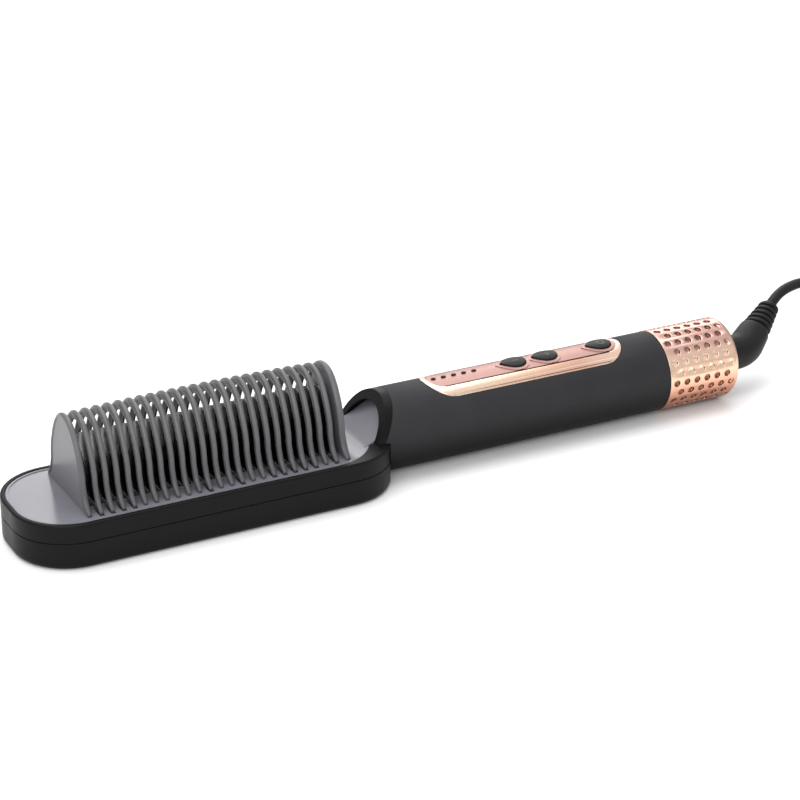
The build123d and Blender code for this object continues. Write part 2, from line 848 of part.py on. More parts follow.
keep("board_carrier", board_carrier.part)

with BuildPart() as circuit_board:
    with BuildSketch(Plane.XY.offset(board_bottom)):
        with Locations((board_centre, 0)):
            Rectangle(board_length, board_width)
        with Locations(*board_screws):
            Circle(small_pilot + slide_gap, mode=Mode.SUBTRACT)
    extrude(amount=board_thickness)
keep("circuit_board", circuit_board.part)

with BuildPart() as board_screw_pair:
    with BuildSketch(Plane.XY.offset(board_top - small_screw_length)):
        with Locations(*board_screws):
            Circle(small_pilot)
    extrude(amount=small_screw_length)
    with BuildSketch(Plane.XY.offset(board_top)):
        with Locations(*board_screws):
            Circle(small_head)
    extrude(amount=small_head_height)
keep("board_screws", board_screw_pair.part)

with BuildPart() as key_switches:
    with BuildSketch(Plane.XY.offset(board_top)):
        for place in button_places:
            with Locations((panel_tip + place, 0)):
                Rectangle(switch_size, switch_size)
    extrude(amount=switch_height)
    with BuildSketch(Plane.XY.offset(board_top + switch_height)):
        for place in button_places:
            with Locations((panel_tip + place, 0)):
                Circle(plunger_radius)
    extrude(amount=plunger_height)
keep("key_switches", key_switches.part)

with BuildPart() as indicator_lights:
    with BuildSketch(Plane.XY.offset(board_top)):
        with Locations(*light_places):
            Rectangle(led_length, led_width)
    extrude(amount=led_height)
keep("indicator_lights", indicator_lights.part)

with BuildPart() as capacitor:
    with BuildSketch(Plane.XY.offset(board_bottom - capacitor_height)):
        with Locations((board_start + capacitor_place, 0)):
            Rectangle(capacitor_length, capacitor_width)
    extrude(amount=capacitor_height)
keep("film_capacitor", capacitor.part)

with BuildPart() as triac:
    with BuildSketch(Plane.XY.offset(board_bottom - triac_height)):
        with Locations((board_start + triac_place, 0)):
            Rectangle(triac_length, triac_width)
    extrude(amount=triac_height)
    with BuildSketch(Plane.XY.offset(board_bottom - triac_height - triac_tab_height)):
        with Locations((board_start + triac_place + (triac_length - triac_tab) / 2, 0)):
            Rectangle(triac_tab, triac_width)
    extrude(amount=triac_tab_height)
keep("triac", triac.part)

# Tail collar: a turned metal sleeve with rows of dimples, its end turned in to a lip
with BuildPart() as tail_collar:
    with BuildSketch(across(collar_start)):
        with Locations((0, axis_height)):
            Circle(collar_radius)
    extrude(amount=collar_length)
    fillet(tail_collar.edges().group_by(Axis.X)[-1], collar_round)
    with BuildSketch(across(collar_start)):
        with Locations((0, axis_height)):
            Circle(collar_radius - collar_wall)
    extrude(amount=collar_length - collar_wall, mode=Mode.SUBTRACT)
    with BuildSketch(across(collar_start)):
        with Locations((0, axis_height)):
            Circle(collar_lip)
    extrude(amount=collar_length, mode=Mode.SUBTRACT)
    dimple_first = collar_start + (collar_length - collar_round / 2 - (dimple_count - 0.5) * dimple_pitch) / 2
    for row in range(dimple_rows):
        turn = math.radians(row * 360 / dimple_rows)
        outward = Vector(0, math.sin(turn), math.cos(turn))
        floor = Vector(dimple_first + (row % 2) * dimple_pitch / 2, 0, axis_height)
        floor += outward * (collar_radius - dimple_depth)
        with BuildSketch(Plane(origin=floor, x_dir=(1, 0, 0), z_dir=outward)):
            with Locations(*[(index * dimple_pitch, 0) for index in range(dimple_count)]):
                Circle(dimple_diameter / 2)
        extrude(amount=2 * dimple_depth, mode=Mode.SUBTRACT)
keep("tail_collar", tail_collar.part)

# Liner inside the collar, stepped to enter the sleeve, with a shoulder behind the swivel flange
liner_radius = collar_radius - collar_wall - slide_gap
liner_bore = spigot_radius - liner_wall
flange_end = cap_start - slide_gap
flange_start = flange_end - flange_width
with BuildPart() as collar_liner:
    with BuildSketch(across(collar_start - liner_overlap)):
        with Locations((0, axis_height)):
            Circle(spigot_radius)
    extrude(amount=liner_overlap)
    with BuildSketch(across(collar_start)):
        with Locations((0, axis_height)):
            Circle(liner_radius)
    extrude(amount=cap_start - collar_start)
    with BuildSketch(across(collar_start - liner_overlap)):
        with Locations((0, axis_height)):
            Circle(liner_bore)
    extrude(amount=liner_overlap + collar_length, mode=Mode.SUBTRACT)
    with BuildSketch(across(flange_start - slide_gap - shoulder_width)):
        with Locations((0, axis_height)):
            Circle(liner_bore + shoulder_sink)
            Circle(journal_radius, mode=Mode.SUBTRACT)
    extrude(amount=shoulder_width)
keep("collar_liner", collar_liner.part)

with BuildPart() as end_cap:
    with BuildSketch(across(cap_start)):
        with Locations((0, axis_height)):
            Circle(liner_radius)
            Circle(journal_radius + journal_gap, mode=Mode.SUBTRACT)
    extrude(amount=cap_thickness)
    cap_edges = end_cap.edges().filter_by(GeomType.CIRCLE).group_by(Axis.X)[-1]
    fillet(cap_edges.sort_by(SortBy.RADIUS)[-1], cap_round)
keep("end_cap", end_cap.part)

# Swivel spindle: a flange trapped behind the cap, a journal through it and a tail for the contact rings
with BuildPart() as swivel_spindle:
    with BuildSketch(across(flange_start)):
        with Locations((0, axis_height)):
            Circle(journal_flange)
    extrude(amount=flange_width)
    with BuildSketch(across(flange_end)):
        with Locations((0, axis_height)):
            Circle(journal_radius)
    extrude(amount=cap_end - flange_end)
    with BuildSketch(across(flange_start - spindle_length)):
        with Locations((0, axis_height)):
            Circle(spindle_radius)
    extrude(amount=spindle_length)
    with BuildSketch(across(flange_start - spindle_length)):
        with Locations((0, axis_height)):
            Circle(cord_radius)
    extrude(amount=spindle_length + flange_width, mode=Mode.SUBTRACT)
keep("swivel_spindle", swivel_spindle.part)

ring_first = flange_start - spindle_length + ring_lead
ring_starts = [ring_first, ring_first + ring_spacing]
with BuildPart() as contact_rings:
    for start in ring_starts:
        with BuildSketch(across(start)):
            with Locations((0, axis_height)):
                Circle(spindle_radius + thread_gap + ring_thickness)
                Circle(spindle_radius + thread_gap, mode=Mode.SUBTRACT)
        extrude(amount=ring_width)
keep("contact_rings", contact_rings.part)

block_end = flange_start - spindle_length - block_gap
with BuildPart() as contact_block:
    with BuildSketch(across(block_end - block_thickness)):
        with Locations((0, axis_height)):
            Circle(liner_bore - slide_gap)
    extrude(amount=block_thickness)
keep("contact_block", contact_block.part)

blade_offset = spindle_radius + thread_gap + ring_thickness + contact_gap + blade_thickness / 2
with BuildPart() as contact_blades:
    for side, start in zip((1, -1), ring_starts):
        with BuildSketch(across(block_end)):
            with Locations((side * blade_offset, axis_height)):
                Rectangle(blade_thickness, blade_width)
        extrude(amount=start + ring_width - block_end)
keep("contact_blades", contact_blades.part)

# Insulated leads: from the heater elements to the board, and from the board to the contact block
element_end = window_centre + element_offset + element_length / 2
element_middle = flange_bottom - element_thickness / 2
heater_pad = board_start + lead_pad_inset
supply_pad = board_start + board_length - board_screw_inset
block_start = block_end - block_thickness
heater_lead = [
    (element_end, heater_lead_start, element_middle),
    *heater_lead_points,
    (heater_pad, heater_pad_spread, board_bottom),
]
supply_lead = [
    (block_start, blade_offset, axis_height),
    *supply_lead_points,
    (supply_pad, supply_pad_spread, board_bottom),
]
for name, route in (("heater_leads", heater_lead), ("supply_leads", supply_lead)):
    with BuildPart() as leads:
        add(cord_tube(route, lead_diameter / 2))
        mirror(about=Plane.XZ)
    keep(name, leads.part)

# Strain relief: a plain elbow that leaves the collar, then a tapered leg with rounded ridges
boot_start = Vector(cap_end, 0, axis_height)
elbow = boot_start + Vector(boot_run, 0, 0)
lean = math.radians(boot_angle)
swing = math.radians(boot_turn)
leg_way = Vector(math.cos(lean), math.sin(lean) * math.sin(swing), math.sin(lean) * math.cos(swing))
boot_end = elbow + leg_way * boot_leg
ridge_start = boot_leg * boot_plain_share
ridge_pitch = (boot_leg - ridge_start - ridge_lead) / boot_ridges
leg_plane = Plane(origin=elbow, x_dir=leg_way, z_dir=leg_way.cross(Vector(1, 0, 0)))
with BuildPart() as strain_relief:
    with BuildLine() as elbow_path:
        FilletPolyline(boot_start, elbow, elbow + leg_way * ridge_start, radius=boot_bend)
    with BuildSketch(across(boot_start.X)):
        with Locations((0, axis_height)):
            Circle(boot_radius)
    sweep(path=elbow_path.line)
    with BuildSketch(leg_plane):
        with BuildLine():
            outline = [(ridge_start, 0), (ridge_start, boot_radius)]
            for index in range(boot_ridges):
                place = ridge_start + ridge_lead + index * ridge_pitch
                share = index / (boot_ridges - 1)
                outer = boot_shoulder + (boot_tip - boot_shoulder) * share
                outline.append((place, outer - boot_ridge_depth))
                outline.append((place + ridge_rise * ridge_pitch, outer))
                outline.append((place + ridge_fall * ridge_pitch, outer))
            outline.append((boot_leg, boot_tip - boot_ridge_depth))
            outline.append((boot_leg, 0))
            Polyline(*outline, close=True)
        make_face()
    revolve(axis=Axis(elbow, leg_way))
keep("strain_relief", strain_relief.part)

# Cord: from the strain relief down to the table and on to the coil, then from the coil to the plug
cord_route = [tuple(boot_end), tuple(boot_end + leg_way * cord_start), *cord_points]
keep("power_cord", cord_tube(cord_route, cord_radius))
keep("cord_tail", cord_tube(tail_points, cord_radius))

with BuildPart() as cord_coil:
    with BuildSketch():
        with Locations(coil_centre):
            Circle(coil_radius + coil_across * cord_radius)
            Circle(coil_radius - coil_across * cord_radius, mode=Mode.SUBTRACT)
    extrude(amount=coil_layers * cord_diameter)
keep("cord_coil", cord_coil.part)

# Plug: a flat two-pin body lying beside the coil, its pins pointing on along the tail of the cord
plug_way = (Vector(*tail_points[-1]) - Vector(*tail_points[-2])).normalized()
plug_start = Vector(*tail_points[-1])
plug_plane = Plane(origin=plug_start, x_dir=plug_way.cross(Vector(0, 0, 1)), z_dir=plug_way)
with BuildPart() as plug_body:
    with BuildSketch(plug_plane.offset(plug_throat)):
        RectangleRounded(plug_width, plug_height, plug_corner)
    with BuildSketch(plug_plane):
        Circle(cord_radius + plug_throat_wall)
    loft()
    with BuildSketch(plug_plane.offset(plug_throat)):
        RectangleRounded(plug_width, plug_height, plug_corner)
    extrude(amount=plug_length - plug_throat)
keep("plug_body", plug_body.part)

with BuildPart() as plug_pins:
    with BuildSketch(plug_plane.offset(plug_length)):
        with Locations((-pin_spread / 2, 0), (pin_spread / 2, 0)):
            Circle(pin_radius)
    extrude(amount=pin_length)
    pin_ends = plug_pins.edges().filter_by(GeomType.CIRCLE)
    fillet(pin_ends.sort_by(lambda edge: (edge.center() - plug_start).length)[-2:], pin_round)
keep("plug_pins", plug_pins.part)

os.makedirs("parts", exist_ok=True)
for name, solid in parts.items():
    export_step(solid, f"parts/{name}.step")
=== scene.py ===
"""Looks of a hair straightening brush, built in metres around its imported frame."""

import logging
import math
from dataclasses import dataclass
from enum import Enum
from typing import Any, Callable, Optional, Sequence, Union

import bpy
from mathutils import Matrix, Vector


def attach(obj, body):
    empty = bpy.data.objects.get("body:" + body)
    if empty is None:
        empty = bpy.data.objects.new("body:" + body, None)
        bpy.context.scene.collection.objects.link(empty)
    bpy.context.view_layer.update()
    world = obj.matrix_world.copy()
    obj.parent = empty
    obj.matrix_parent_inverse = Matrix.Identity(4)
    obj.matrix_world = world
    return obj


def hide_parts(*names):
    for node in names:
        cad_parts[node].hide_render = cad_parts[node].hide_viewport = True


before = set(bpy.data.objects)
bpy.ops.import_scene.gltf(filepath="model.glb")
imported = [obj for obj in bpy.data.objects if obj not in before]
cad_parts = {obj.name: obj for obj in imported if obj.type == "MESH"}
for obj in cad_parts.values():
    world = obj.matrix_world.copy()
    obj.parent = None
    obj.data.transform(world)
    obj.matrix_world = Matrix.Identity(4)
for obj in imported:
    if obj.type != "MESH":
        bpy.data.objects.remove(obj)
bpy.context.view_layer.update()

log = logging.getLogger("brush")

MM = 0.001
WELD = 1e-6
SEAM = 1e-5
BRUSH = "brush"
SWIVEL = "cord_swivel"

Colour = tuple[float, float, float]
Point = tuple[float, float, float]
Pair = tuple[float, float]
Tones = tuple[tuple[float, Colour], ...]
Test = Callable[[Vector, Vector], bool]
Material = bpy.types.Material


def mm(*sizes: float) -> tuple[float, ...]:
    """Return sizes in millimetres as metres."""
    return tuple(size * MM for size in sizes)


def grey(shade: float) -> Colour:
    """Return a grey of that brightness."""
    return (shade, shade, shade)


def add_object(name: str, data: bpy.types.ID) -> bpy.types.Object:
    """Put an object around a mesh, curve, lamp or lens into the scene.

    Args:
        name: Name of the object and of its data.
        data: What the object holds.

    Returns:
        The new object.
    """
    data.name = name
    thing = bpy.data.objects.new(name, data)
    bpy.context.scene.collection.objects.link(thing)
    return thing


# ---- shader nodes


class Socket:
    """An output of a shader node that can be used in Python sums."""

    def __init__(self, graph: "Graph", output: bpy.types.NodeSocket) -> None:
        """Keep the graph and the output that this value comes from."""
        self.graph = graph
        self.output = output

    def _math(self, operation: str, other: "Value") -> "Socket":
        """Return the result of a Math node on this value and another."""
        return self.graph.node("ShaderNodeMath", {"operation": operation}, {0: self, 1: other})

    def __add__(self, other: "Value") -> "Socket":
        """Return self + other."""
        return self._math("ADD", other)

    def __mul__(self, other: "Value") -> "Socket":
        """Return self * other."""
        return self._math("MULTIPLY", other)

    __radd__ = __add__
    __rmul__ = __mul__


Value = Union[Socket, float, int, Sequence[float]]


class Graph:
    """The node graph of one material or world."""

    rounding_samples = 6
    edge_samples = 4
    edge_cosines = (0.995, 0.9)

    def __init__(self, name: str, world: bool = False) -> None:
        """Make the material, or the world, and find its shader.

        Args:
            name: Name of the material or the world.
            world: Whether to make a world.
        """
        self.owner = (bpy.data.worlds if world else bpy.data.materials).new(name)
        self.owner.use_nodes = True
        self.tree = self.owner.node_tree
        self.shader = self.tree.nodes["Background" if world else "Principled BSDF"]

    def node(
        self,
        kind: str,
        settings: Optional[dict[str, Any]] = None,
        inputs: Optional[dict[Union[int, str], Value]] = None,
        output: Union[int, str] = 0,
    ) -> Socket:
        """Add a node of any kind.

        Args:
            kind: Blender's name of the node type.
            settings: The node's own options; "stops" holds a ramp's places and colours.
            inputs: Values or sockets for the node's inputs, by name or number.
            output: Name or number of the output to return.

        Returns:
            The chosen output.
        """
        made = self.tree.nodes.new(kind)
        for key, setting in (settings or {}).items():
            if key == "stops":
                ramp = made.color_ramp
                for index, (place, colour) in enumerate(setting):
                    stop = ramp.elements[index] if index < 2 else ramp.elements.new(place)
                    stop.position = place
                    stop.color = (*colour, 1)
            else:
                setattr(made, key, setting)
        for key, value in (inputs or {}).items():
            self.feed(made.inputs[key], value)
        return Socket(self, made.outputs[output])

    def feed(self, socket: bpy.types.NodeSocket, value: Value) -> None:
        """Link a node's input to another node, or set its value.

        Args:
            socket: The input to feed.
            value: A socket, a number or a list of numbers.
        """
        if isinstance(value, Socket):
            self.tree.links.new(value.output, socket)
        else:
            socket.default_value = value

    def shade(self, **inputs: Value) -> None:
        """Feed the shader's inputs, named with underscores for spaces."""
        for key, value in inputs.items():
            self.feed(self.shader.inputs[key.replace("_", " ")], value)

    def place(self, stretch: Point = (1, 1, 1)) -> Socket:
        """Return object coordinates, stretched along X, Y and Z."""
        coordinates = self.node("ShaderNodeTexCoord", output="Object")
        return self.node("ShaderNodeMapping", {}, {"Vector": coordinates, "Scale": stretch})

    def noise(self, size: float, detail: float = 3.0, stretch: Point = (1, 1, 1)) -> Socket:
        """Return noise around a half, with marks of a size in mm and finer layers of detail."""
        inputs = {"Vector": self.place(stretch), "Scale": 1 / (size * MM), "Detail": detail}
        return self.node("ShaderNodeTexNoise", {}, inputs)

    def mask(self, value: Socket, low: float, high: float, kind: str = "LINEAR") -> Socket:
        """Return a mask that goes from 0 to 1 while a value goes from low to high."""
        limits = {"Value": value, "From Min": low, "From Max": high}
        return self.node("ShaderNodeMapRange", {"interpolation_type": kind}, limits)

    def along(self, axis: str, low: float, high: float) -> Socket:
        """Mask a surface by how far a point lies along an axis.

        Args:
            axis: X, Y or Z.
            low: Place in millimetres where the mask is 0.
            high: Place in millimetres where it is 1.

        Returns:
            A mask that grows from 0 to 1 between the two places.
        """
        coordinates = self.node("ShaderNodeTexCoord", output="Object")
        place = self.node("ShaderNodeSeparateXYZ", {}, {0: coordinates}, axis)
        return self.mask(place, low * MM, high * MM, "SMOOTHSTEP")

    def blend(self, factor: Value, first: Value, second: Value, kind: str = "MIX") -> Socket:
        """Return a mix of two colours.

        Args:
            factor: Share of the second colour.
            first: The colour at 0.
            second: The colour at 1.
            kind: Blender's name of the way they mix.

        Returns:
            The mixed colour.
        """
        first, second = (
            (*colour, 1) if isinstance(colour, tuple) else colour for colour in (first, second)
        )
        settings = {"data_type": "RGBA", "blend_type": kind}
        return self.node("ShaderNodeMix", settings, {0: factor, 6: first, 7: second}, output=2)

    def tint(self, first: Value, second: Value) -> Socket:
        """Return one colour multiplied by another."""
        return self.blend(1.0, first, second, "MULTIPLY")

    def rounded(self, radius: float, samples: int) -> Socket:
        """Return the normal of a surface whose edges are rounded by a radius in millimetres."""
        return self.node("ShaderNodeBevel", {"samples": samples}, {"Radius": radius * MM})

    def bump(self, height: Value, depth: float, rounding: float = 0.0) -> Socket:
        """Return the normal of a rough surface.

        Args:
            height: The pattern, 0 to 1.
            depth: Its height in millimetres.
            rounding: How wide edges look rounded, in millimetres.

        Returns:
            The bent normal.
        """
        inputs = {"Height": height, "Distance": depth * MM}
        if rounding:
            inputs["Normal"] = self.rounded(rounding, self.rounding_samples)
        return self.node("ShaderNodeBump", {}, inputs)

    def edges(self, radius: float) -> Socket:
        """Return a mask of edges and corners.

        Args:
            radius: How far from an edge the mask reaches, in millimetres.

        Returns:
            A mask that is 1 at an edge and 0 on a flat face.
        """
        normals = {
            0: self.rounded(radius, self.edge_samples),
            1: self.node("ShaderNodeNewGeometry", output="Normal"),
        }
        facing = self.node("ShaderNodeVectorMath", {"operation": "DOT_PRODUCT"}, normals, "Value")
        return self.mask(facing, *self.edge_cosines)


# ---- finishes


@dataclass(frozen=True)
class Moulding:
    """Moulded plastic or rubber: fine grain, faint flow marks, and lighter edges that are partly
    wear and partly painted highlight.

    Sizes are in millimetres. Over a span of heights the colour goes from lower, at the bottom, to
    colour: painted shade.
    """

    name: str
    colour: Colour
    edge_wear_and_highlight: Colour
    roughness: float
    grain: float = 0.35
    depth: float = 0.01
    gloss: float = 0.5
    rounding: float = 0.0
    lower: Optional[Colour] = None
    shade_band: Pair = (0.0, 1.0)
    flow: float = 14.0
    flow_tones: Pair = (0.80, 1.06)
    flow_roughness: float = 0.07
    grain_detail: float = 2.0
    grain_roughness: float = 0.06
    sheen: float = 0.05
    edge: float = 0.25
    edge_share: float = 0.6

    def material(self) -> Material:
        """Make the finish's material.

        Returns:
            The material.
        """
        graph = Graph(self.name)
        cloud = graph.noise(self.flow)
        fine = graph.noise(self.grain, self.grain_detail)
        body: Value = self.colour
        # Below the span of heights the colour turns to lower: painted shade towards the bottom.
        if self.lower:
            body = graph.blend(graph.along("Z", *self.shade_band), self.lower, self.colour)
        body = graph.tint(body, graph.blend(cloud, *(grey(tone) for tone in self.flow_tones)))
        uneven = self.flow_roughness * cloud
        graph.shade(
            # Edges lighten towards the edge colour: partly wear, partly painted highlight.
            Base_Color=graph.blend(graph.edges(self.edge) * self.edge_share, body, self.edge_wear_and_highlight),
            Roughness=self.roughness - self.sheen + uneven + self.grain_roughness * fine,
            Normal=graph.bump(fine, self.depth, self.rounding),
            Specular_IOR_Level=self.gloss,
        )
        return graph.owner


@dataclass(frozen=True)
class Plating:
    """Plated or bare metal: fine turned lines, faint colour change, and a painted highlight along
    the edges.

    Sizes are in millimetres. A ramp tints the metal from one end of the span to the other: painted
    reflection, highlight and shade.
    """

    name: str
    colour: Colour
    deep: Colour
    edge_highlight: Colour
    roughness: float
    lines: Point = (1, 1, 1)
    axis: str = "Z"
    span: Pair = (0.0, 1.0)
    painted_light_tones: Tones = ()
    cloud: float = 9.0
    line_size: float = 0.25
    line_detail: float = 2.0
    line_depth: float = 0.002
    line_roughness: float = 0.04
    smudge: float = 3.5
    smudge_detail: float = 4.0
    smudge_roughness: float = 0.05
    sheen: float = 0.04
    edge: float = 0.2
    edge_share: float = 0.7

    def material(self) -> Material:
        """Make the finish's material.

        Returns:
            The material.
        """
        graph = Graph(self.name)
        cloud = graph.noise(self.cloud)
        fine = graph.noise(self.line_size, self.line_detail, self.lines)
        smudge = graph.noise(self.smudge, self.smudge_detail)
        body = graph.blend(cloud, self.deep, self.colour)
        # Tint along an axis: painted reflection, highlight and shade.
        if self.painted_light_tones:
            mask = graph.along(self.axis, *self.span)
            tone = graph.node("ShaderNodeValToRGB", {"stops": self.painted_light_tones}, {0: mask})
            body = graph.tint(body, tone)
        uneven = self.smudge_roughness * smudge
        graph.shade(
            # Edges lighten towards the edge colour: painted highlight.
            Base_Color=graph.blend(graph.edges(self.edge) * self.edge_share, body, self.edge_highlight),
            Metallic=1.0,
            Roughness=self.roughness - self.sheen + uneven + self.line_roughness * fine,
            Normal=graph.bump(fine, self.line_depth),
        )
        return graph.owner


@dataclass(frozen=True)
class Board:
    """Green circuit board with copper tracks under its lacquer, sizes in millimetres."""

    name: str = "board_lacquer"
    lacquer: Colour = (0.012, 0.09, 0.035)
    track: Colour = (0.03, 0.20, 0.08)
    track_pitch: float = 3.2
    track_sides: Pair = (0.30, 0.36)
    track_height: float = 0.02
    roughness: float = 0.28
    smudge: float = 2.0
    smudge_roughness: float = 0.15

    def material(self) -> Material:
        """Make the finish's material.

        Returns:
            The material.
        """
        graph = Graph(self.name)
        settings = {"distance": "CHEBYCHEV", "feature": "F1"}
        inputs = {"Vector": graph.place(), "Scale": 1 / (self.track_pitch * MM)}
        cells = graph.node("ShaderNodeTexVoronoi", settings, inputs, "Distance")
        tracks = graph.mask(cells, *self.track_sides)
        graph.shade(
            Base_Color=graph.blend(tracks, self.lacquer, self.track),
            Roughness=self.roughness + self.smudge_roughness * graph.noise(self.smudge),
            Normal=graph.bump(tracks, self.track_height),
        )
        return graph.owner


@dataclass(frozen=True)
class Lamp:
    """A soft light: where it hangs, what it points at, its width and height, and its watts."""

    name: str
    place: Point
    aim: Point
    size: Pair
    power: float


@dataclass(frozen=True)
class Studio:
    """Floor, lights, world and camera, in metres and degrees, the floor's pattern in mm."""

    focal_length: float = 114.0
    sensor: float = 36.0
    clip: Pair = (0.01, 30.0)
    camera_place: Point = (-0.38235, -0.75037, 0.40715)
    camera_turn: Point = (65.70, 0.0, -27.355)
    floor_size: float = 8.0
    floor_colours: tuple[Colour, Colour] = (grey(0.90), grey(0.93))
    floor_cloud: float = 220.0
    floor_grain: float = 3.0
    floor_depth: float = 0.02
    floor_roughness: float = 0.8
    floor_smudge: float = 0.1
    floor_gloss: float = 0.1
    lamps: tuple[Lamp, ...] = (
        Lamp("front_light", (-0.75, -1.10, 0.85), (0, 0, 0), size=(1.1, 0.7), power=9.0),
        Lamp("top_light", (-0.1, 0.25, 1.25), (0, 0, 0), size=(1.6, 1.1), power=14.0),
        Lamp("back_light", (0.55, 0.95, 0.55), (0, 0, 0.03), size=(0.8, 0.4), power=3.0),
    )
    world_light: float = 0.92
    sky: tuple[Pair, ...] = ((0.0, 0.55), (0.7, 0.95))

    def camera(self) -> None:
        """Place the camera at the photograph's angle."""
        lens = bpy.data.cameras.new("camera")
        lens.lens = self.focal_length
        lens.sensor_width = self.sensor
        lens.clip_start, lens.clip_end = self.clip
        camera = add_object("camera", lens)
        camera.location = self.camera_place
        camera.rotation_euler = [math.radians(turn) for turn in self.camera_turn]
        bpy.context.scene.camera = camera

    def floor(self) -> None:
        """Lay a pale matt floor with a faint unevenness."""
        floor = Workpiece.add("floor", bpy.ops.mesh.primitive_plane_add, size=self.floor_size)
        graph = Graph("floor_paint")
        cloud = graph.noise(self.floor_cloud)
        graph.shade(
            Base_Color=graph.blend(cloud, *self.floor_colours),
            Roughness=self.floor_roughness + self.floor_smudge * cloud,
            Normal=graph.bump(graph.noise(self.floor_grain), self.floor_depth),
            Specular_IOR_Level=self.floor_gloss,
        )
        floor.wear(graph.owner)

    def lights(self) -> None:
        """Hang the soft lights and set the world's light."""
        for lamp in self.lamps:
            light = bpy.data.lights.new(lamp.name, "AREA")
            light.shape = "RECTANGLE"
            light.size, light.size_y = lamp.size
            light.energy = lamp.power
            hung = add_object(lamp.name, light)
            hung.location = lamp.place
            way = Vector(lamp.aim) - Vector(lamp.place)
            hung.rotation_euler = way.to_track_quat("-Z", "Y").to_euler()
        graph = Graph("studio", world=True)
        direction = graph.node("ShaderNodeTexCoord", output="Generated")
        up = graph.node("ShaderNodeSeparateXYZ", {}, {0: direction}, "Z")
        stops = [(place, grey(shade)) for place, shade in self.sky]
        graph.shade(
            Color=graph.node("ShaderNodeValToRGB", {"stops": stops}, {0: up}),
            Strength=self.world_light,
        )
        bpy.context.scene.world = graph.owner
        bpy.context.scene.view_settings.view_transform = "Standard"


# ---- shaping


class Pick(Enum):
    """What a selection picks."""

    VERTEX = "VERT"
    EDGE = "EDGE"
    FACE = "FACE"


class Axis(Enum):
    """An axis that something turns about."""

    X = "X"
    Y = "Y"


@dataclass(frozen=True)
class Station:
    """One stop of a section that is drawn along a path.

    The place is in millimetres, the slope is the path's direction in degrees within its plane,
    and the size is the section's radius there.
    """

    place: Point
    slope: float
    size: float


def clear_selection() -> None:
    """Leave nothing selected and no edit mode open."""
    if bpy.context.object and bpy.context.object.mode != "OBJECT":
        bpy.ops.object.mode_set(mode="OBJECT")
    bpy.ops.object.select_all(action="DESELECT")


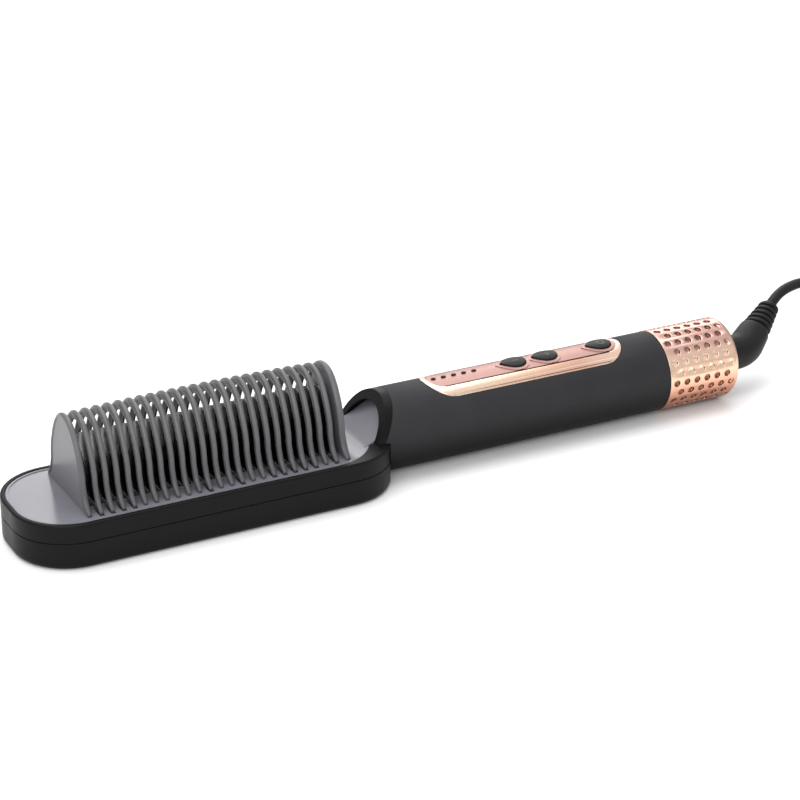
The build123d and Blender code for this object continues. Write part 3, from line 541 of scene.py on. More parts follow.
class Workpiece:
    """One object that is shaped with edit-mode operators and handed over to the frame."""

    flat_angle = 0.6

    def __init__(self, piece: bpy.types.Object) -> None:
        """Keep the object that is worked on."""
        self.piece = piece

    @classmethod
    def add(cls, name: str, primitive: Callable[..., Any], **sizes: Any) -> "Workpiece":
        """Add a primitive at its size and place.

        Args:
            name: Name of the piece.
            primitive: The operator that adds it.
            **sizes: The operator's options.

        Returns:
            The new workpiece, with its place applied to its mesh.
        """
        clear_selection()
        primitive(**sizes)
        piece = bpy.context.object
        piece.name = name
        piece.data.name = name
        bpy.ops.object.transform_apply(location=True, rotation=True, scale=True)
        return cls(piece)

    @classmethod
    def from_node(cls, name: str, node: str, flatten: bool = True) -> "Workpiece":
        """Copy a CAD node and join its loose triangles.

        Args:
            name: Name of the piece.
            node: Name of the CAD node.
            flatten: Whether to join triangles that lie in one plane.

        Returns:
            The new workpiece.
        """
        work = cls(add_object(name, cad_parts[node].data.copy()))
        work.grab()
        bpy.ops.mesh.remove_doubles(threshold=WELD)
        bpy.ops.mesh.customdata_custom_splitnormals_clear()
        if flatten:
            bpy.ops.mesh.dissolve_limited(angle_limit=math.radians(cls.flat_angle))
        work.leave()
        return work

    def activate(self) -> None:
        """Make the piece the only selected object and the active one."""
        clear_selection()
        bpy.context.view_layer.objects.active = self.piece
        self.piece.select_set(True)

    def edit(self) -> None:
        """Open the mesh for shaping."""
        if self.piece.mode != "EDIT":
            self.activate()
            bpy.ops.object.mode_set(mode="EDIT")

    def grab(self) -> None:
        """Open the mesh and select all of it."""
        self.edit()
        bpy.ops.mesh.select_all(action="SELECT")

    def leave(self) -> None:
        """Close the mesh again."""
        if self.piece.mode == "EDIT":
            bpy.ops.object.mode_set(mode="OBJECT")

    def select(self, test: Test, kind: Pick = Pick.FACE) -> None:
        """Select elements by place and normal.

        Args:
            test: Says for a centre and a normal, or an edge's direction, whether to select.
            kind: What to select.
        """
        self.edit()
        bpy.ops.mesh.select_mode(type=kind.value)
        bpy.ops.mesh.select_all(action="DESELECT")
        self.leave()
        mesh = self.piece.data
        if kind is Pick.FACE:
            for face in mesh.polygons:
                face.select = test(face.center, face.normal)
        elif kind is Pick.VERTEX:
            for corner in mesh.vertices:
                corner.select = test(corner.co, corner.normal)
        else:
            for edge in mesh.edges:
                first, second = (mesh.vertices[index].co for index in edge.vertices)
                edge.select = test((first + second) / 2, (second - first).normalized())
        self.edit()

    def lowest(self) -> float:
        """Return the height of the lowest corner in metres."""
        self.leave()
        return min(corner.co.z for corner in self.piece.data.vertices)

    @staticmethod
    def move(*steps: float) -> None:
        """Move what is selected by millimetres along X, Y and Z."""
        bpy.ops.transform.translate(value=mm(*steps))

    @staticmethod
    def scale(shares: Sequence[float], centre: Point = (0, 0, 0)) -> None:
        """Scale what is selected along X, Y and Z about a point in millimetres."""
        bpy.ops.transform.resize(value=shares, center_override=mm(*centre))

    @staticmethod
    def turn(angle: float, axis: Axis, centre: Point) -> None:
        """Turn what is selected.

        Args:
            angle: Degrees, positive from Y to Z about X, and from X to Z about Y.
            axis: The axis to turn about.
            centre: A point on that axis in millimetres.
        """
        way = 1 if axis is Axis.Y else -1
        bpy.ops.transform.rotate(
            value=way * math.radians(angle), orient_axis=axis.value, center_override=mm(*centre)
        )

    def draw_along(self, stations: Sequence[Station], axis: Axis) -> None:
        """Extrude the selected face from station to station.

        Args:
            stations: The section's places, directions and sizes, the first one where it is.
            axis: The axis that the path bends about.
        """
        for before, after in zip(stations, stations[1:]):
            step = Vector(after.place) - Vector(before.place)
            bpy.ops.mesh.extrude_region_move(TRANSFORM_OT_translate={"value": mm(*step)})
            self.turn(after.slope - before.slope, axis, after.place)
            self.scale([after.size / before.size] * 3, after.place)

    def copy(self, name: str) -> "Workpiece":
        """Return a copy with a mesh of its own."""
        self.leave()
        return Workpiece(add_object(name, self.piece.data.copy()))

    def modify(self, kind: str, **settings: Any) -> None:
        """Add a modifier and apply it.

        Args:
            kind: Blender's name of the modifier.
            **settings: Its options.
        """
        self.activate()
        modifier = self.piece.modifiers.new(kind.lower(), kind)
        for key, value in settings.items():
            setattr(modifier, key, value)
        bpy.ops.object.modifier_apply(modifier=modifier.name)

    def soften(self, width: float, segments: int = 2, limit: float = 35.0) -> None:
        """Round all sharp edges a little.

        Args:
            width: Width of the rounding in millimetres.
            segments: Facets across the rounding.
            limit: Least angle of an edge that is rounded, in degrees.
        """
        self.modify(
            "BEVEL",
            width=width * MM,
            segments=segments,
            limit_method="ANGLE",
            angle_limit=math.radians(limit),
            use_clamp_overlap=False,
            miter_outer="MITER_ARC",
        )

    def smooth(self, angle: float = 30.0) -> None:
        """Shade the surface smooth up to an angle in degrees."""
        self.activate()
        bpy.ops.object.shade_smooth_by_angle(angle=math.radians(angle))

    def outward(self) -> None:
        """Merge doubles and point all faces outwards."""
        self.grab()
        bpy.ops.mesh.remove_doubles(threshold=WELD)
        bpy.ops.mesh.normals_make_consistent(inside=False)
        self.leave()

    def wear(self, *materials: Material) -> None:
        """Give the piece its materials.

        Args:
            *materials: The materials, the first one all over the piece.
        """
        self.leave()
        self.piece.data.materials.clear()
        for material in materials:
            self.piece.data.materials.append(material)

    def paint(self, index: int, test: Test) -> None:
        """Put one of the piece's materials on some faces.

        Args:
            index: Number of the material.
            test: Says for a centre and a normal whether the face wears it.
        """
        self.select(test)
        self.piece.active_material_index = index
        bpy.ops.object.material_slot_assign()
        self.leave()

    def hand_over(
        self, material: Optional[Material], body: str, slot: str, nodes: Sequence[str] = ()
    ) -> None:
        """Dress the piece and let it ride on its body.

        Args:
            material: Its material, or None if it wears its materials already.
            body: The CAD body it moves with.
            slot: Not used.
            nodes: CAD nodes that it stands for.
        """
        self.leave()
        if material:
            self.wear(material)
        piece = self.piece
        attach(piece, body)
        if nodes:
            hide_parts(*nodes)
        log.info("%s rides on %s and stands for %s", piece.name, body, ", ".join(nodes) or "itself")


def dress_nodes(material: Material, *nodes: str) -> None:
    """Give CAD nodes that keep their shape a material.

    Args:
        material: The material.
        *nodes: Names of the nodes.
    """
    for node in nodes:
        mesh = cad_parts[node].data
        mesh.materials.clear()
        mesh.materials.append(material)
        log.info("%s keeps its shape and wears %s", node, material.name)


def soften_node(
    name: str, node: str, edge: float, material: Material, slot: str, body: str = BRUSH
) -> None:
    """Hand over a CAD node's shape with its sharp edges rounded.

    Args:
        name: Name of the piece.
        node: Name of the CAD node.
        edge: Width of the rounding in millimetres.
        material: Its material.
        slot: Not used.
        body: The CAD body it moves with.
    """
    work = Workpiece.from_node(name, node)
    work.soften(edge)
    work.smooth()
    work.hand_over(material, body, slot, (node,))


# ---- components, in millimetres and degrees


@dataclass
class SupplyCord:
    """Mains cord, its length in metres, with its strain relief, storage coil and plug."""

    sheath: Moulding = Moulding(
        "cord_sheath", grey(0.0095), grey(0.018), roughness=0.45, grain=0.5, depth=0.02, gloss=0.2
    )
    pin_metal: Plating = Plating(
        "pin_plating", (0.78, 0.76, 0.70), (0.70, 0.68, 0.62), (0.9, 0.9, 0.85), roughness=0.2
    )
    diameter: float = 4.2
    length: float = 1.68
    facets: int = 5
    steps: int = 5
    boot_start: Point = (144.4, 0.0, 15.7)
    boot_run: float = 12.8
    boot_leg: float = 25.6
    boot_bend: float = 10.0
    boot_radius: float = 6.9
    boot_lean: float = 38.0
    boot_swing: float = 48.5
    boot_sides: int = 40
    boot_smoothing: float = 40.0
    bend_steps: int = 6
    plain_end: float = 11.5
    plain_radius: float = 6.3
    plain_round: tuple[Pair, ...] = ((1.2, 0.0), (0.3, 0.25))
    ridge_count: int = 5
    ridge_gap: float = 0.3
    ridge_pitch: float = 2.7
    ridge_depth: float = 0.85
    ridge_profile: tuple[Pair, ...] = (
        (0.0, 0.85),
        (0.30, 0.85),
        (0.40, 0.1),
        (0.55, 0.0),
        (0.75, 0.0),
        (0.90, 0.15),
    )
    ridge_slant: float = 9.0
    ridge_base: float = 5.7
    ridge_tip: float = 4.2
    first_run: float = 6.0
    lead_in: tuple[Point, ...] = (
        (189.8, 17.9, 29.9),
        (202.0, 22.6, 28.8),
        (215.5, 28.0, 21.2),
        (229.0, 33.2, 8.6),
        (239.5, 37.8, 2.1),
        (251.5, 43.9, 2.1),
    )
    coil_centre: Pair = (268.0, 12.3)
    coil_outside: float = 35.2
    coil_start: float = 110.0
    coil_turns: float = 4.6
    climb_turns: float = 0.422
    points_per_turn: int = 16
    tail: tuple[Point, ...] = (
        (244.9, -14.3, 6.3),
        (238.9, -8.4, 8.0),
        (235.9, 0.9, 10.5),
        (237.5, 10.6, 12.4),
        (244.9, 18.0, 14.2),
        (253.0, 22.6, 15.4),
        (262.5, 22.6, 15.4),
    )

    @property
    def leg_way(self) -> Vector:
        """Direction in which the cord leaves the strain relief, as a vector of length 1."""
        lean, swing = math.radians(self.boot_lean), math.radians(self.boot_swing)
        side = math.sin(lean)
        return Vector((math.cos(lean), side * math.sin(swing), side * math.cos(swing)))

    @property
    def boot_end(self) -> Vector:
        """Point where the cord leaves the strain relief."""
        elbow = Vector(self.boot_start) + Vector((self.boot_run, 0, 0))
        return elbow + self.leg_way * self.boot_leg

    def coil_points(self) -> list[Point]:
        """Lay out the coil: inwards on the table, up, and outwards on top.

        Returns:
            Its control points in millimetres.
        """
        pitch = self.diameter
        inside = self.coil_outside - pitch * self.coil_turns
        turns = 2 * self.coil_turns + self.climb_turns
        count = round(turns * self.points_per_turn)
        widen = 1 / math.cos(math.pi / self.points_per_turn)
        points = []
        for index in range(count + 1):
            turn = turns * index / count
            climb = min(max((turn - self.coil_turns) / self.climb_turns, 0.0), 1.0)
            up = turn - self.coil_turns - self.climb_turns
            radius = inside + pitch * max(self.coil_turns - turn, up, 0.0)
            angle = math.radians(self.coil_start - 360 * turn)
            points.append(
                (
                    self.coil_centre[0] + widen * radius * math.cos(angle),
                    self.coil_centre[1] + widen * radius * math.sin(angle),
                    self.diameter * (0.5 + climb),
                )
            )
        return points

    def route(self) -> list[Point]:
        """Lay out the whole cord.

        Returns:
            Its control points in millimetres.
        """
        end = self.boot_end
        straight = tuple(end + self.leg_way * self.first_run)
        return [tuple(end), straight, *self.lead_in, *self.coil_points(), *self.tail]

    def lay_cord(self) -> bpy.types.Object:
        """Make the cord as one smooth spline.

        Returns:
            The cord.
        """
        curve = bpy.data.curves.new("mains_cord", "CURVE")
        curve.dimensions = "3D"
        curve.bevel_depth = self.diameter / 2 * MM
        curve.bevel_resolution = self.facets
        curve.use_fill_caps = True
        curve.resolution_u = self.steps
        spline = curve.splines.new("NURBS")
        route = self.route()
        spline.points.add(len(route) - 1)
        for point, place in zip(spline.points, route):
            point.co = (*mm(*place), 1)
        spline.order_u = 3
        spline.use_endpoint_u = True
        return add_object("mains_cord", curve)

    def boot_stations(self) -> list[Station]:
        """Lay out the strain relief, its bend drawn in an upright plane.

        Its plain shoulder ends in a rounding, and every ridge follows the same profile of shares
        of the pitch and depths under the ridge's radius.

        Returns:
            Its sections.
        """
        start = Vector(self.boot_start)
        straight = self.boot_run - self.boot_bend * math.tan(math.radians(self.boot_lean) / 2)
        bend_start = start + Vector((straight, 0, 0))
        stations = [Station(tuple(start), 0.0, self.boot_radius)]
        stations.append(Station(tuple(bend_start), 0.0, self.boot_radius))
        for step in range(1, self.bend_steps + 1):
            turn = self.boot_lean * step / self.bend_steps
            way = math.radians(turn)
            over, up = math.sin(way), 1 - math.cos(way)
            place = bend_start + self.boot_bend * Vector((over, 0, up))
            stations.append(Station(tuple(place), turn, self.boot_radius))
        elbow = start + Vector((self.boot_run, 0, 0))
        lean = math.radians(self.boot_lean)
        along = Vector((math.cos(lean), 0, math.sin(lean)))

        def stop(distance: float, radius: float, slant: float = 0.0) -> None:
            """Add a section on the leg."""
            place = tuple(elbow + along * distance)
            stations.append(Station(place, self.boot_lean + slant, radius))

        for before, below in self.plain_round:
            stop(self.plain_end - before, self.plain_radius - below)
        for ridge in range(self.ridge_count):
            begin = self.plain_end + self.ridge_gap + ridge * self.ridge_pitch
            share = ridge / (self.ridge_count - 1)
            outer = self.ridge_base + (self.ridge_tip - self.ridge_base) * share
            for part, below in self.ridge_profile:
                stop(begin + part * self.ridge_pitch, outer - below, self.ridge_slant)
        stop(self.boot_leg, self.ridge_tip - self.ridge_depth)
        return stations

    def shape_boot(self, sheath: Material) -> None:
        """Model the strain relief in an upright plane, then swing it round its axis.

        Args:
            sheath: Its material.
        """
        boot = Workpiece.add(
            "strain_boot",
            bpy.ops.mesh.primitive_circle_add,
            vertices=self.boot_sides,
            radius=self.boot_radius * MM,
            fill_type="NGON",
            location=mm(*self.boot_start),
            rotation=(0, math.radians(90), 0),
        )
        boot.grab()
        boot.draw_along(self.boot_stations(), Axis.Y)
        boot.grab()
        boot.turn(-self.boot_swing, Axis.X, self.boot_start)
        boot.outward()
        boot.smooth(self.boot_smoothing)
        boot.hand_over(sheath, SWIVEL, "cord_black", ("strain_relief",))

    def build(self) -> None:
        """Make the cord and what is on it."""
        sheath = self.sheath.material()
        cord = self.lay_cord()
        nodes = ("power_cord", "cord_coil", "cord_tail")
        Workpiece(cord).hand_over(sheath, SWIVEL, "cord_black", nodes)
        self.shape_boot(sheath)
        dress_nodes(sheath, "plug_body")
        dress_nodes(self.pin_metal.material(), "plug_pins")
        mm(*self.boot_end)


@dataclass
class CombHead:
    """Casing, comb cover and heating plate."""

    casing: Moulding = Moulding(
        "casing_plastic",
        grey(0.0062),
        grey(0.012),
        roughness=0.36,
        grain=0.3,
        depth=0.005,
        gloss=0.10,
        rounding=0.35,
    )
    # The tray, the ribs and the shields are one grey plastic in three greys, lightest on the tray
    # and darkest on the ribs: painted light and shade.
    tray: Moulding = Moulding(
        "tray_plastic",
        (0.172, 0.171, 0.196),
        (0.27, 0.27, 0.29),
        roughness=0.20,
        depth=0.0015,
        gloss=0.4,
        rounding=0.3,
    )
    comb: Moulding = Moulding(
        "rib_plastic_painted_shade",
        (0.112, 0.111, 0.116),
        (0.17, 0.17, 0.175),
        roughness=0.34,
        depth=0.004,
        gloss=0.4,
        # The ribs darken towards the bottom: painted shade.
        lower=(0.085, 0.085, 0.090),
        shade_band=(20.0, 40.0),
    )
    shield: Moulding = Moulding(
        "shield_plastic",
        (0.150, 0.149, 0.163),
        (0.17, 0.17, 0.18),
        roughness=0.34,
        depth=0.004,
        gloss=0.35,
    )
    # Near-white edge colour: painted glints along the fins' edges.
    heater: Plating = Plating(
        "heater_coating",
        (0.17, 0.167, 0.167),
        (0.10, 0.098, 0.098),
        (0.9, 0.89, 0.88),
        roughness=0.25,
    )
    fin_edge: float = 0.15
    tray_top: float = 16.4
    tray_slack: float = 0.05
    cut_faces: Pair = (-124.4, -23.5)
    rib_count: int = 23
    rib_first: float = -118.5
    rib_pitch: float = 4.05
    rib_smoothing: float = 50.0
    bead_radius: float = 1.0
    bead_sides: int = 16
    web_start: float = 0.9
    web_depth: float = 1.30
    leg_spread: float = 14.2
    shoulder: float = 25.0
    crest: float = 46.05
    crown: float = 0.8
    pinch: float = 0.07
    arch_steps: int = 9
    toe: tuple[tuple[float, float, float, float], ...] = (
        (19.60, 16.35, 160.0, 0.50),
        (19.40, 16.75, 145.0, 0.70),
        (18.60, 17.35, 137.0, 0.82),
        (17.30, 18.50, 134.0, 0.94),
        (16.15, 19.85, 122.0, 1.00),
        (15.35, 21.50, 108.0, 1.00),
        (14.75, 23.40, 98.0, 1.00),
    )
    shields: tuple[tuple[str, float, float], ...] = (
        ("tip_shield", -122.9, 1.1),
        ("tail_shield", -24.9, 1.3),
    )
    shield_wall: float = 1.5
    shield_flare: tuple[Pair, Pair] = ((15.35, 21.5), (19.0, 16.3))
    shield_slack: float = 0.01
    shield_sides: int = 56

    def rib_stations(self) -> list[Station]:
        """Lay out half a rib, from its toe to its crest.

        Returns:
            Its sections.
        """
        stations = [Station((0.0, across, up), slope, size) for across, up, slope, size in self.toe]
        rise = self.crest - self.shoulder
        for step in range(self.arch_steps + 1):
            turn = math.pi / 2 * step / self.arch_steps
            pinch = 1 - self.pinch * math.sin(2 * turn) ** 2
            across = self.leg_spread * pinch * math.cos(turn)
            up = self.shoulder + rise * math.sin(turn)
            slope = 180 - math.degrees(
                math.atan2(rise * math.cos(turn), self.leg_spread * math.sin(turn))
            )
            stations.append(Station((0.0, across, up), slope, self.bead_radius))
        return stations

    def shape_rib(self) -> Workpiece:
        """Model one rib: a round bead with a thin web behind it, drawn up one side and mirrored.

        Returns:
            The rib, in the middle of the comb.
        """
        stations = self.rib_stations()
        first = stations[0]
        rib = Workpiece.add(
            "rib_pattern",
            bpy.ops.mesh.primitive_circle_add,
            vertices=self.bead_sides,
            radius=self.bead_radius * MM,
            fill_type="NGON",
        )
        web = -self.web_start * self.bead_radius * MM
        rib.select(lambda place, normal: place.y < web, Pick.VERTEX)
        rib.move(0, -self.web_depth, 0)
        bpy.ops.mesh.select_mode(type=Pick.FACE.value)
        rib.grab()
        rib.scale([first.size / self.bead_radius] * 3)
        rib.move(*first.place)
        rib.turn(first.slope - 90, Axis.X, first.place)
        rib.draw_along(stations, Axis.X)
        bpy.ops.mesh.delete(type="FACE")
        rib.modify("MIRROR", use_axis=(False, True, False), merge_threshold=SEAM)
        rib.outward()
        return rib

    @staticmethod
    def finish(piece: Workpiece, material: Material, smoothing: float = 30.0) -> None:
        """Smooth a piece of the comb cover up to an angle in degrees and hand it over."""
        piece.smooth(smoothing)
        piece.hand_over(material, BRUSH, "comb_grey", ("comb_cover",))

    def shape_ribs(self) -> None:
        """Copy the rib along the comb, the middle ones a little taller, and add the shields."""
        # The ribs and the shields' rims take the ribs' darker grey with painted shade; the shield
        # walls take the shields' grey.
        comb, shield = self.comb.material(), self.shield.material()
        pattern = self.shape_rib()
        middle = (self.rib_count - 1) / 2
        rise = self.crest - self.shoulder
        for index in range(self.rib_count):
            rib = pattern.copy(f"comb_rib_{index + 1:02d}")
            along = (index - middle) / middle
            growth = 1 + self.crown * (1 - along**2) / rise
            rib.select(lambda place, normal: place.z > self.shoulder * MM, Pick.VERTEX)
            rib.scale((1, 1, growth), (0, 0, self.shoulder))
            rib.grab()
            rib.move(self.rib_first + index * self.rib_pitch, 0, 0)
            self.finish(rib, comb, self.rib_smoothing)
        for name, place, width in self.shields:
            rim = pattern.copy(f"{name}_rim")
            rim.grab()
            rim.scale((width, 1, 1))
            rim.move(place, 0, 0)
            self.finish(rim, comb, self.rib_smoothing)
            self.shape_wall(f"{name}_wall", place, shield)
        bpy.data.objects.remove(pattern.piece)

    def shape_wall(self, name: str, place: float, shield: Material) -> None:
        """Model the wall that fills the rim of an end shield.

        Args:
            name: Name of the piece.
            place: Where it stands along the comb in millimetres.
            shield: Material of the wall.
        """
        wall = Workpiece.add(
            name,
            bpy.ops.mesh.primitive_circle_add,
            vertices=self.shield_sides,
            radius=self.leg_spread * MM,
            fill_type="NGON",
            location=mm(place, 0, self.shoulder),
            rotation=(0, math.radians(90), 0),
        )
        wall.grab()
        rise = (self.crest - self.shoulder) / self.leg_spread
        centre = (0, 0, self.shoulder)
        wall.scale((1, 1 - self.pinch / 2, rise), centre)
        bpy.ops.mesh.bisect(plane_co=mm(*centre), plane_no=(0, 0, 1), clear_inner=True)
        spread = self.leg_spread * (1 - self.pinch / 2)
        for across, up in self.shield_flare:
            level = wall.lowest()
            bottom = level + self.shield_slack * MM
            wall.select(lambda place, way: place.z < bottom, Pick.EDGE)
            bpy.ops.mesh.extrude_region_move()
            bpy.ops.transform.translate(value=(0, 0, up * MM - level))
            wall.scale((1, across / spread, 1), (0, 0, up))
            spread = across
        wall.modify("SOLIDIFY", thickness=self.shield_wall * MM, offset=0)
        wall.outward()
        self.finish(wall, shield)

    def shape_tray(self) -> None:
        """Take the tray from the cover and close the places of the ribs and the shields."""
        tray = Workpiece.from_node("comb_tray", "comb_cover", flatten=False)
        low, high = self.cut_faces
        top = (self.tray_top + self.tray_slack) * MM
        tray.select(lambda place, normal: low * MM < place.x < high * MM and place.z > top)
        bpy.ops.mesh.delete(type="FACE")
        tray.grab()
        bpy.ops.mesh.fill_holes(sides=0)
        tray.grab()
        bpy.ops.mesh.quads_convert_to_tris()
        self.finish(tray, self.tray.material())

    def build(self) -> None:
        """Make the head's visible pieces."""
        self.shape_tray()
        self.shape_ribs()
        heater = self.heater.material()
        soften_node("heater_fins", "heating_plate", self.fin_edge, heater, "heater_metal")
        dress_nodes(self.casing.material(), "lower_shell", "upper_shell")


@dataclass
class Grip:
    """Handle sleeve with its control panel, buttons and lights."""

    grip: Moulding = Moulding(
        "grip_coating",
        (0.028, 0.028, 0.031),
        grey(0.04),
        roughness=0.55,
        grain=0.25,
        depth=0.008,
        gloss=0.13,
        # Darker towards the bottom of the grip: painted shade.
        lower=(0.0030, 0.0030, 0.0026),
        shade_band=(6.0, 21.0),
    )
    gloss: Plating = Plating(
        "band_plating",
        (0.97, 0.80, 0.67),
        (0.93, 0.75, 0.62),
        (1.0, 0.93, 0.86),
        roughness=0.27,
        axis="X",
        span=(15.0, 99.0),
        # Cream at the tip end, copper towards the tail, lighter at the tail end: painted highlight.
        painted_light_tones=(
            (0.0, (0.90, 0.86, 0.78)),
            (0.35, (0.88, 0.73, 0.65)),
            (0.85, (0.82, 0.60, 0.53)),
            (1.0, (0.96, 0.84, 0.80)),
        ),
    )
    satin: Plating = Plating(
        "strip_plating",
        (0.44, 0.272, 0.243),
        (0.41, 0.25, 0.222),
        (0.47, 0.30, 0.27),
        roughness=0.46,
        lines=(0.1, 1, 1),
    )
    shadow: Moulding = Moulding(
        "groove_shadow", (0.045, 0.018, 0.012), (0.06, 0.03, 0.02), roughness=0.6
    )
    button: Moulding = Moulding(
        "button_plastic",
        (0.0065, 0.0062, 0.006),
        grey(0.03),
        roughness=0.42,
        grain=0.3,
        depth=0.004,
        gloss=0.16,
    )
    ink: Moulding = Moulding("mark_ink", (0.075, 0.072, 0.07), grey(0.08), roughness=0.6)
    lens: Moulding = Moulding(
        "smoked_lens", (0.018, 0.007, 0.005), (0.02, 0.008, 0.006), roughness=0.4, gloss=0.08
    )
    sleeve_edge: float = 0.3
    panel_edge: float = 0.25
    groove: float = 0.4
    strip_width: float = 11.6
    strip_slack: float = 0.05
    straight: float = 0.9
    upright: float = 0.5
    slot_span: Pair = (17.0, 39.0)
    lens_count: int = 5
    lens_facets: int = 24
    lens_first: float = 19.6
    lens_pitch: float = 4.23
    lens_half: Point = (1.0, 0.75, 0.14)
    button_edge: float = 0.2
    button_centres: tuple[float, float, float] = (54.2, 67.7, 91.2)
    mark_above: float = 40.0
    mark_proud: float = 0.02
    mark_thickness: float = 0.04
    stroke: float = 0.55
    stroke_cuts: int = 6
    mark_length: float = 2.6
    ring_facets: int = 32
    ring_radius: float = 1.35
    ring_gap: float = 0.8

    def shape_bar(self, name: str, centre: Point, length: float, width: float) -> Workpiece:
        """Model one stroke of a mark, flat and above its button.

        Args:
            name: Name of the piece.
            centre: Its centre in millimetres.
            length: Its length along the grip.
            width: Its width across the grip.

        Returns:
            The stroke.
        """
        plane = bpy.ops.mesh.primitive_plane_add
        bar = Workpiece.add(name, plane, size=MM, location=mm(*centre))
        bar.grab()
        bar.scale((length, width, 1), centre)
        bpy.ops.mesh.subdivide(number_cuts=self.stroke_cuts)
        bar.leave()
        return bar

    def shape_ring(self, name: str, centre: Point) -> Workpiece:
        """Model the open ring of the power mark.

        Args:
            name: Name of the piece.
            centre: Its centre in millimetres.

        Returns:
            The ring, open towards the tip.
        """
        inside = self.ring_radius - self.stroke / 2
        ring = Workpiece.add(
            name,
            bpy.ops.mesh.primitive_circle_add,
            vertices=self.ring_facets,
            radius=inside * MM,
            location=mm(*centre),
        )
        ring.edit()
        bpy.ops.mesh.select_mode(type=Pick.EDGE.value)
        ring.grab()
        bpy.ops.mesh.extrude_region_move()
        share = (self.ring_radius + self.stroke / 2) / inside
        ring.scale((share, share, 1), centre)
        ring.select(
            lambda place, normal: place.x < centre[0] * MM
            and abs(place.y - centre[1] * MM) < self.ring_gap * MM
        )
        bpy.ops.mesh.delete(type="FACE")
        ring.leave()
        return ring

    def print_mark(self, stroke: Workpiece, button: str, ink: Material) -> None:
        """Lay a stroke on its button and hand it over.

        Args:
            stroke: The flat stroke above the button.
            button: The button's node, which is also its body.
            ink: Material of the mark.
        """
        stroke.modify(
            "SHRINKWRAP",
            target=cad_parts[button],
            wrap_method="PROJECT",
            use_project_z=True,
            use_negative_direction=True,
            use_positive_direction=False,
            offset=self.mark_proud * MM,
        )
        stroke.modify("SOLIDIFY", thickness=self.mark_thickness * MM, offset=0)
        stroke.outward()
        stroke.hand_over(ink, button, "button_black")

    def print_marks(self) -> None:
        """Print a minus, a plus and a power mark on the three buttons."""
        ink = self.ink.material()
        minus, plus, power = ((place, 0.0, self.mark_above) for place in self.button_centres)
        bar = self.shape_bar("minus_mark", minus, self.mark_length, self.stroke)
        self.print_mark(bar, "minus_button", ink)
        bar = self.shape_bar("plus_mark_long", plus, self.mark_length, self.stroke)
        self.print_mark(bar, "plus_button", ink)
        bar = self.shape_bar("plus_mark_cross", plus, self.stroke, self.mark_length)
        self.print_mark(bar, "plus_button", ink)
        self.print_mark(self.shape_ring("power_mark_ring", power), "power_button", ink)
        stem = (power[0] - self.ring_radius, power[1], power[2])
        bar = self.shape_bar("power_mark_stem", stem, self.ring_radius, self.stroke)
        self.print_mark(bar, "power_button", ink)

    def in_groove(self, place: Vector, normal: Vector) -> bool:
        """Tell whether a face of the strip is part of a side groove or of a light slot.

        Args:
            place: The face's centre.
            normal: Its normal.

        Returns:
            Whether it is.
        """
        low, high = self.slot_span
        slotted = low * MM < place.x < high * MM and abs(normal.z) < self.upright
        return slotted or abs(place.y) > (self.strip_width / 2 - self.groove) * MM

    def shape_lenses(self) -> None:
        """Set a low lens into each light slot of the strip, and dress what lies under them."""
        lens = self.lens.material()
        top = max(corner.co.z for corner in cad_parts["panel_insert"].data.vertices)
        pattern = Workpiece.add(
            "lens_pattern",
            bpy.ops.mesh.primitive_uv_sphere_add,
            segments=self.lens_facets,
            ring_count=self.lens_facets // 2,
            radius=MM,
        )
        pattern.grab()
        pattern.scale(self.lens_half)
        bpy.ops.transform.translate(value=(self.lens_first * MM, 0, top))
        for index in range(self.lens_count):
            piece = pattern.copy(f"light_lens_{index + 1}")
            piece.grab()
            piece.move(index * self.lens_pitch, 0, 0)
            piece.smooth()
            piece.hand_over(lens, BRUSH, "light_clear")
        bpy.data.objects.remove(pattern.piece)
        dress_nodes(lens, "light_guide", "indicator_lights")

    def shape_strip(self) -> None:
        """Shape the strip, with a bevel along each side as a groove."""
        strip = Workpiece.from_node("panel_strip", "panel_insert")
        strip.wear(self.satin.material(), self.shadow.material())
        side = (self.strip_width / 2 - self.strip_slack) * MM
        strip.select(
            lambda place, way: abs(place.y) > side and abs(way.x) > self.straight, Pick.EDGE
        )
        bpy.ops.mesh.bevel(offset=self.groove * MM, segments=1)
        # The side grooves and the light slots' walls wear the painted shadow.
        strip.paint(1, self.in_groove)
        strip.smooth()
        strip.hand_over(None, BRUSH, "strip_rose", ("panel_insert",))

    def build(self) -> None:
        """Make the grip's visible pieces."""
        grip, gloss = self.grip.material(), self.gloss.material()
        button = self.button.material()
        soften_node("grip_sleeve", "handle_sleeve", self.sleeve_edge, grip, "grip_soft")
        soften_node("panel_band", "panel_frame", self.panel_edge, gloss, "panel_rose")
        self.shape_strip()
        for node in ("minus_button", "plus_button", "power_button"):
            name = node.replace("_button", "_key")
            soften_node(name, node, self.button_edge, button, "button_black", node)
        self.print_marks()
        self.shape_lenses()


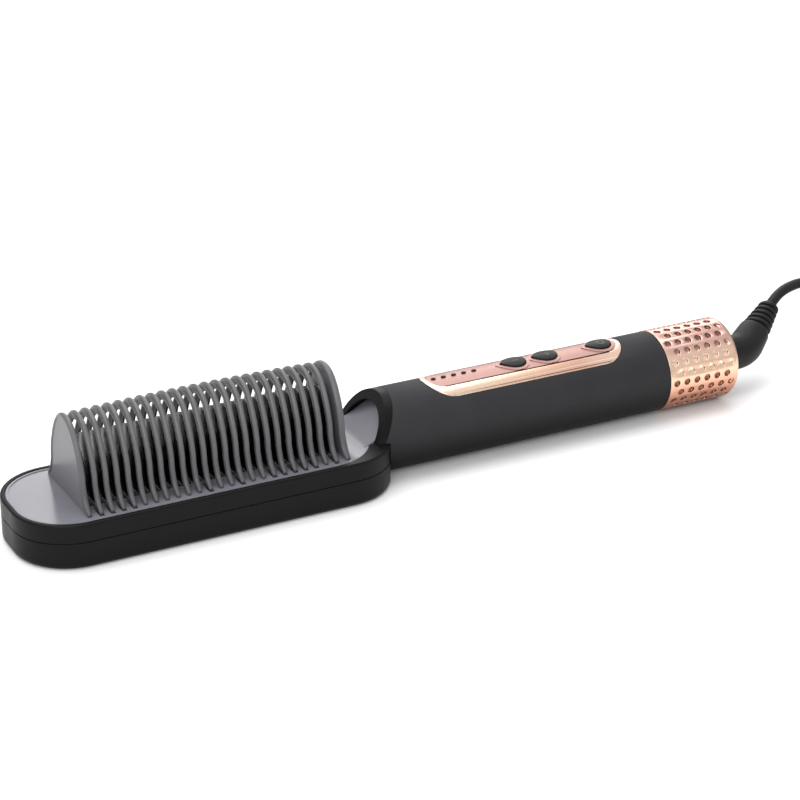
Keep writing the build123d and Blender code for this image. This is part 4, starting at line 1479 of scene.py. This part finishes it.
@dataclass
class TailCollar:
    """Dimpled metal collar and the cap behind it."""

    metal: Plating = Plating(
        "collar_plating",
        (0.96, 0.72, 0.60),
        (0.90, 0.64, 0.52),
        (1.0, 0.96, 0.92),
        roughness=0.30,
        lines=(1, 0.08, 0.08),
        span=(0.0, 31.4),
        # Dark at the bottom, near-white in the middle and darker at the top: painted reflection and
        # shade.
        painted_light_tones=(
            (0.0, (0.38, 0.22, 0.17)),
            (0.32, (0.74, 0.52, 0.43)),
            (0.58, (1.0, 0.93, 0.82)),
            (0.86, (1.0, 0.97, 0.90)),
            (0.97, (0.70, 0.60, 0.62)),
            (1.0, (0.62, 0.52, 0.54)),
        ),
    )
    # Dark walls inside the dimples: painted shade.
    wall: Plating = Plating(
        "dimple_wall_painted_shade", (0.13, 0.06, 0.04), (0.09, 0.04, 0.028), (0.14, 0.065, 0.045), roughness=0.35
    )
    bowl: Plating = Plating(
        "dimple_bowl_painted_reflection",
        (0.96, 0.76, 0.64),
        (0.90, 0.68, 0.56),
        (0.96, 0.76, 0.64),
        roughness=0.25,
        span=(0.0, 31.4),
        # Dark in the top and bottom rows, near-white in the middle rows: painted reflection and
        # shade.
        painted_light_tones=(
            (0.0, (0.20, 0.09, 0.06)),
            (0.50, (0.26, 0.12, 0.08)),
            (0.60, (1.0, 1.0, 0.95)),
            (0.84, (1.0, 1.0, 0.95)),
            (0.93, (0.42, 0.30, 0.28)),
            (1.0, (0.16, 0.10, 0.10)),
        ),
    )
    cap: Moulding = Moulding(
        "cap_plastic",
        (0.018, 0.018, 0.019),
        grey(0.05),
        roughness=0.42,
        grain=0.3,
        depth=0.006,
        gloss=0.3,
    )
    edge: float = 0.12
    smoothing: float = 50.0
    axis_height: float = 15.7
    outside: float = 15.7
    dimpled: Pair = (114.8, 142.0)
    dimple_depth: float = 0.7
    floor_slack: float = 0.12
    floor_facing: float = 0.9
    bowl_edge: float = 0.55
    bowl_depth: float = 0.25
    bowl_facing: float = 0.6
    wall_top: float = 0.08
    wall_slack: float = 0.1

    def depth(self, place: Vector) -> float:
        """Measure how far under the collar's outside a point lies.

        Args:
            place: The point.

        Returns:
            Its depth in millimetres, or 0 away from the dimples.
        """
        low, high = self.dimpled
        if not low * MM < place.x < high * MM:
            return 0.0
        return self.outside - Vector((place.y, place.z - self.axis_height * MM)).length / MM

    def facing(self, place: Vector, normal: Vector) -> float:
        """Return how squarely a face looks away from the collar's axis, 1 at most."""
        out = Vector((0, place.y, place.z - self.axis_height * MM))
        return normal.dot(out.normalized())

    def on_floor(self, place: Vector, normal: Vector) -> bool:
        """Tell whether a face is the floor of a dimple."""
        above, below = self.dimple_depth - self.floor_slack, self.dimple_depth + self.floor_slack
        return above < self.depth(place) < below and self.facing(place, normal) > self.floor_facing

    def in_bowl(self, place: Vector, normal: Vector) -> bool:
        """Tell whether a face is part of the bowl in a dimple's floor."""
        deep = self.depth(place) > self.dimple_depth - self.floor_slack
        return deep and self.facing(place, normal) >= self.bowl_facing

    def in_wall(self, place: Vector, normal: Vector) -> bool:
        """Tell whether a face is part of a dimple's wall."""
        deep = self.wall_top < self.depth(place) < self.dimple_depth + self.wall_slack
        return deep and 0 <= self.facing(place, normal) < self.bowl_facing

    def build(self) -> None:
        """Make the collar, with a bowl in the floor of each dimple."""
        collar = Workpiece.from_node("rose_collar", "tail_collar")
        collar.wear(self.metal.material(), self.wall.material(), self.bowl.material())
        collar.soften(self.edge)
        collar.select(self.on_floor)
        bpy.ops.mesh.inset(thickness=self.bowl_edge * MM, depth=-self.bowl_depth * MM)
        # The dimples' walls wear the painted shade.
        collar.paint(1, self.in_wall)
        # The dimples' floors wear the painted reflection.
        collar.paint(2, self.in_bowl)
        collar.smooth(self.smoothing)
        collar.hand_over(None, BRUSH, "collar_rose", ("tail_collar",))
        dress_nodes(self.cap.material(), "end_cap", "collar_liner", "swivel_spindle")


def dress_inside() -> None:
    """Give the hidden pieces their finishes."""
    gasket = Moulding("seal_silicone", grey(0.20), grey(0.3), roughness=0.7)
    ceramic = Moulding("element_ceramic", (0.78, 0.75, 0.68), (0.85, 0.83, 0.78), roughness=0.6)
    film = Moulding("heat_sheet_film", (0.70, 0.42, 0.12), (0.8, 0.55, 0.25), roughness=0.35)
    trough = Moulding("trough_plastic", (0.05, 0.05, 0.052), grey(0.12), roughness=0.5)
    resin = Moulding("component_resin", (0.04, 0.04, 0.045), grey(0.12), roughness=0.35)
    foil = Moulding("capacitor_case", (0.45, 0.05, 0.03), (0.6, 0.2, 0.15), roughness=0.3)
    sleeve = Moulding("lead_sleeve", (0.5, 0.48, 0.45), grey(0.6), roughness=0.5)
    steel = Plating("screw_steel", grey(0.5), grey(0.4), grey(0.7), roughness=0.3)
    brass = Plating(
        "contact_brass", (0.75, 0.57, 0.25), (0.6, 0.45, 0.2), (0.9, 0.75, 0.4), roughness=0.25
    )
    for finish, nodes in (
        (gasket, "heater_gasket"),
        (ceramic, "heater_elements"),
        (film, "insulation_sheet"),
        (trough, "board_carrier contact_block"),
        (resin, "key_switches triac thermistor"),
        (foil, "film_capacitor"),
        (sleeve, "heater_leads supply_leads"),
        (steel, "clamp_plate clamp_screws head_screws board_screws thermal_fuse"),
        (brass, "contact_rings contact_blades"),
        (Board(), "circuit_board"),
    ):
        dress_nodes(finish.material(), *nodes.split())


def main() -> None:
    """Build the studio and every piece of the brush, in order."""
    logging.basicConfig(level=logging.INFO, format="%(message)s")
    studio = Studio()
    studio.camera()
    for component in (SupplyCord(), CombHead(), Grip(), TailCollar()):
        component.build()
    dress_inside()
    studio.floor()
    studio.lights()


if __name__ == "__main__":
    main()
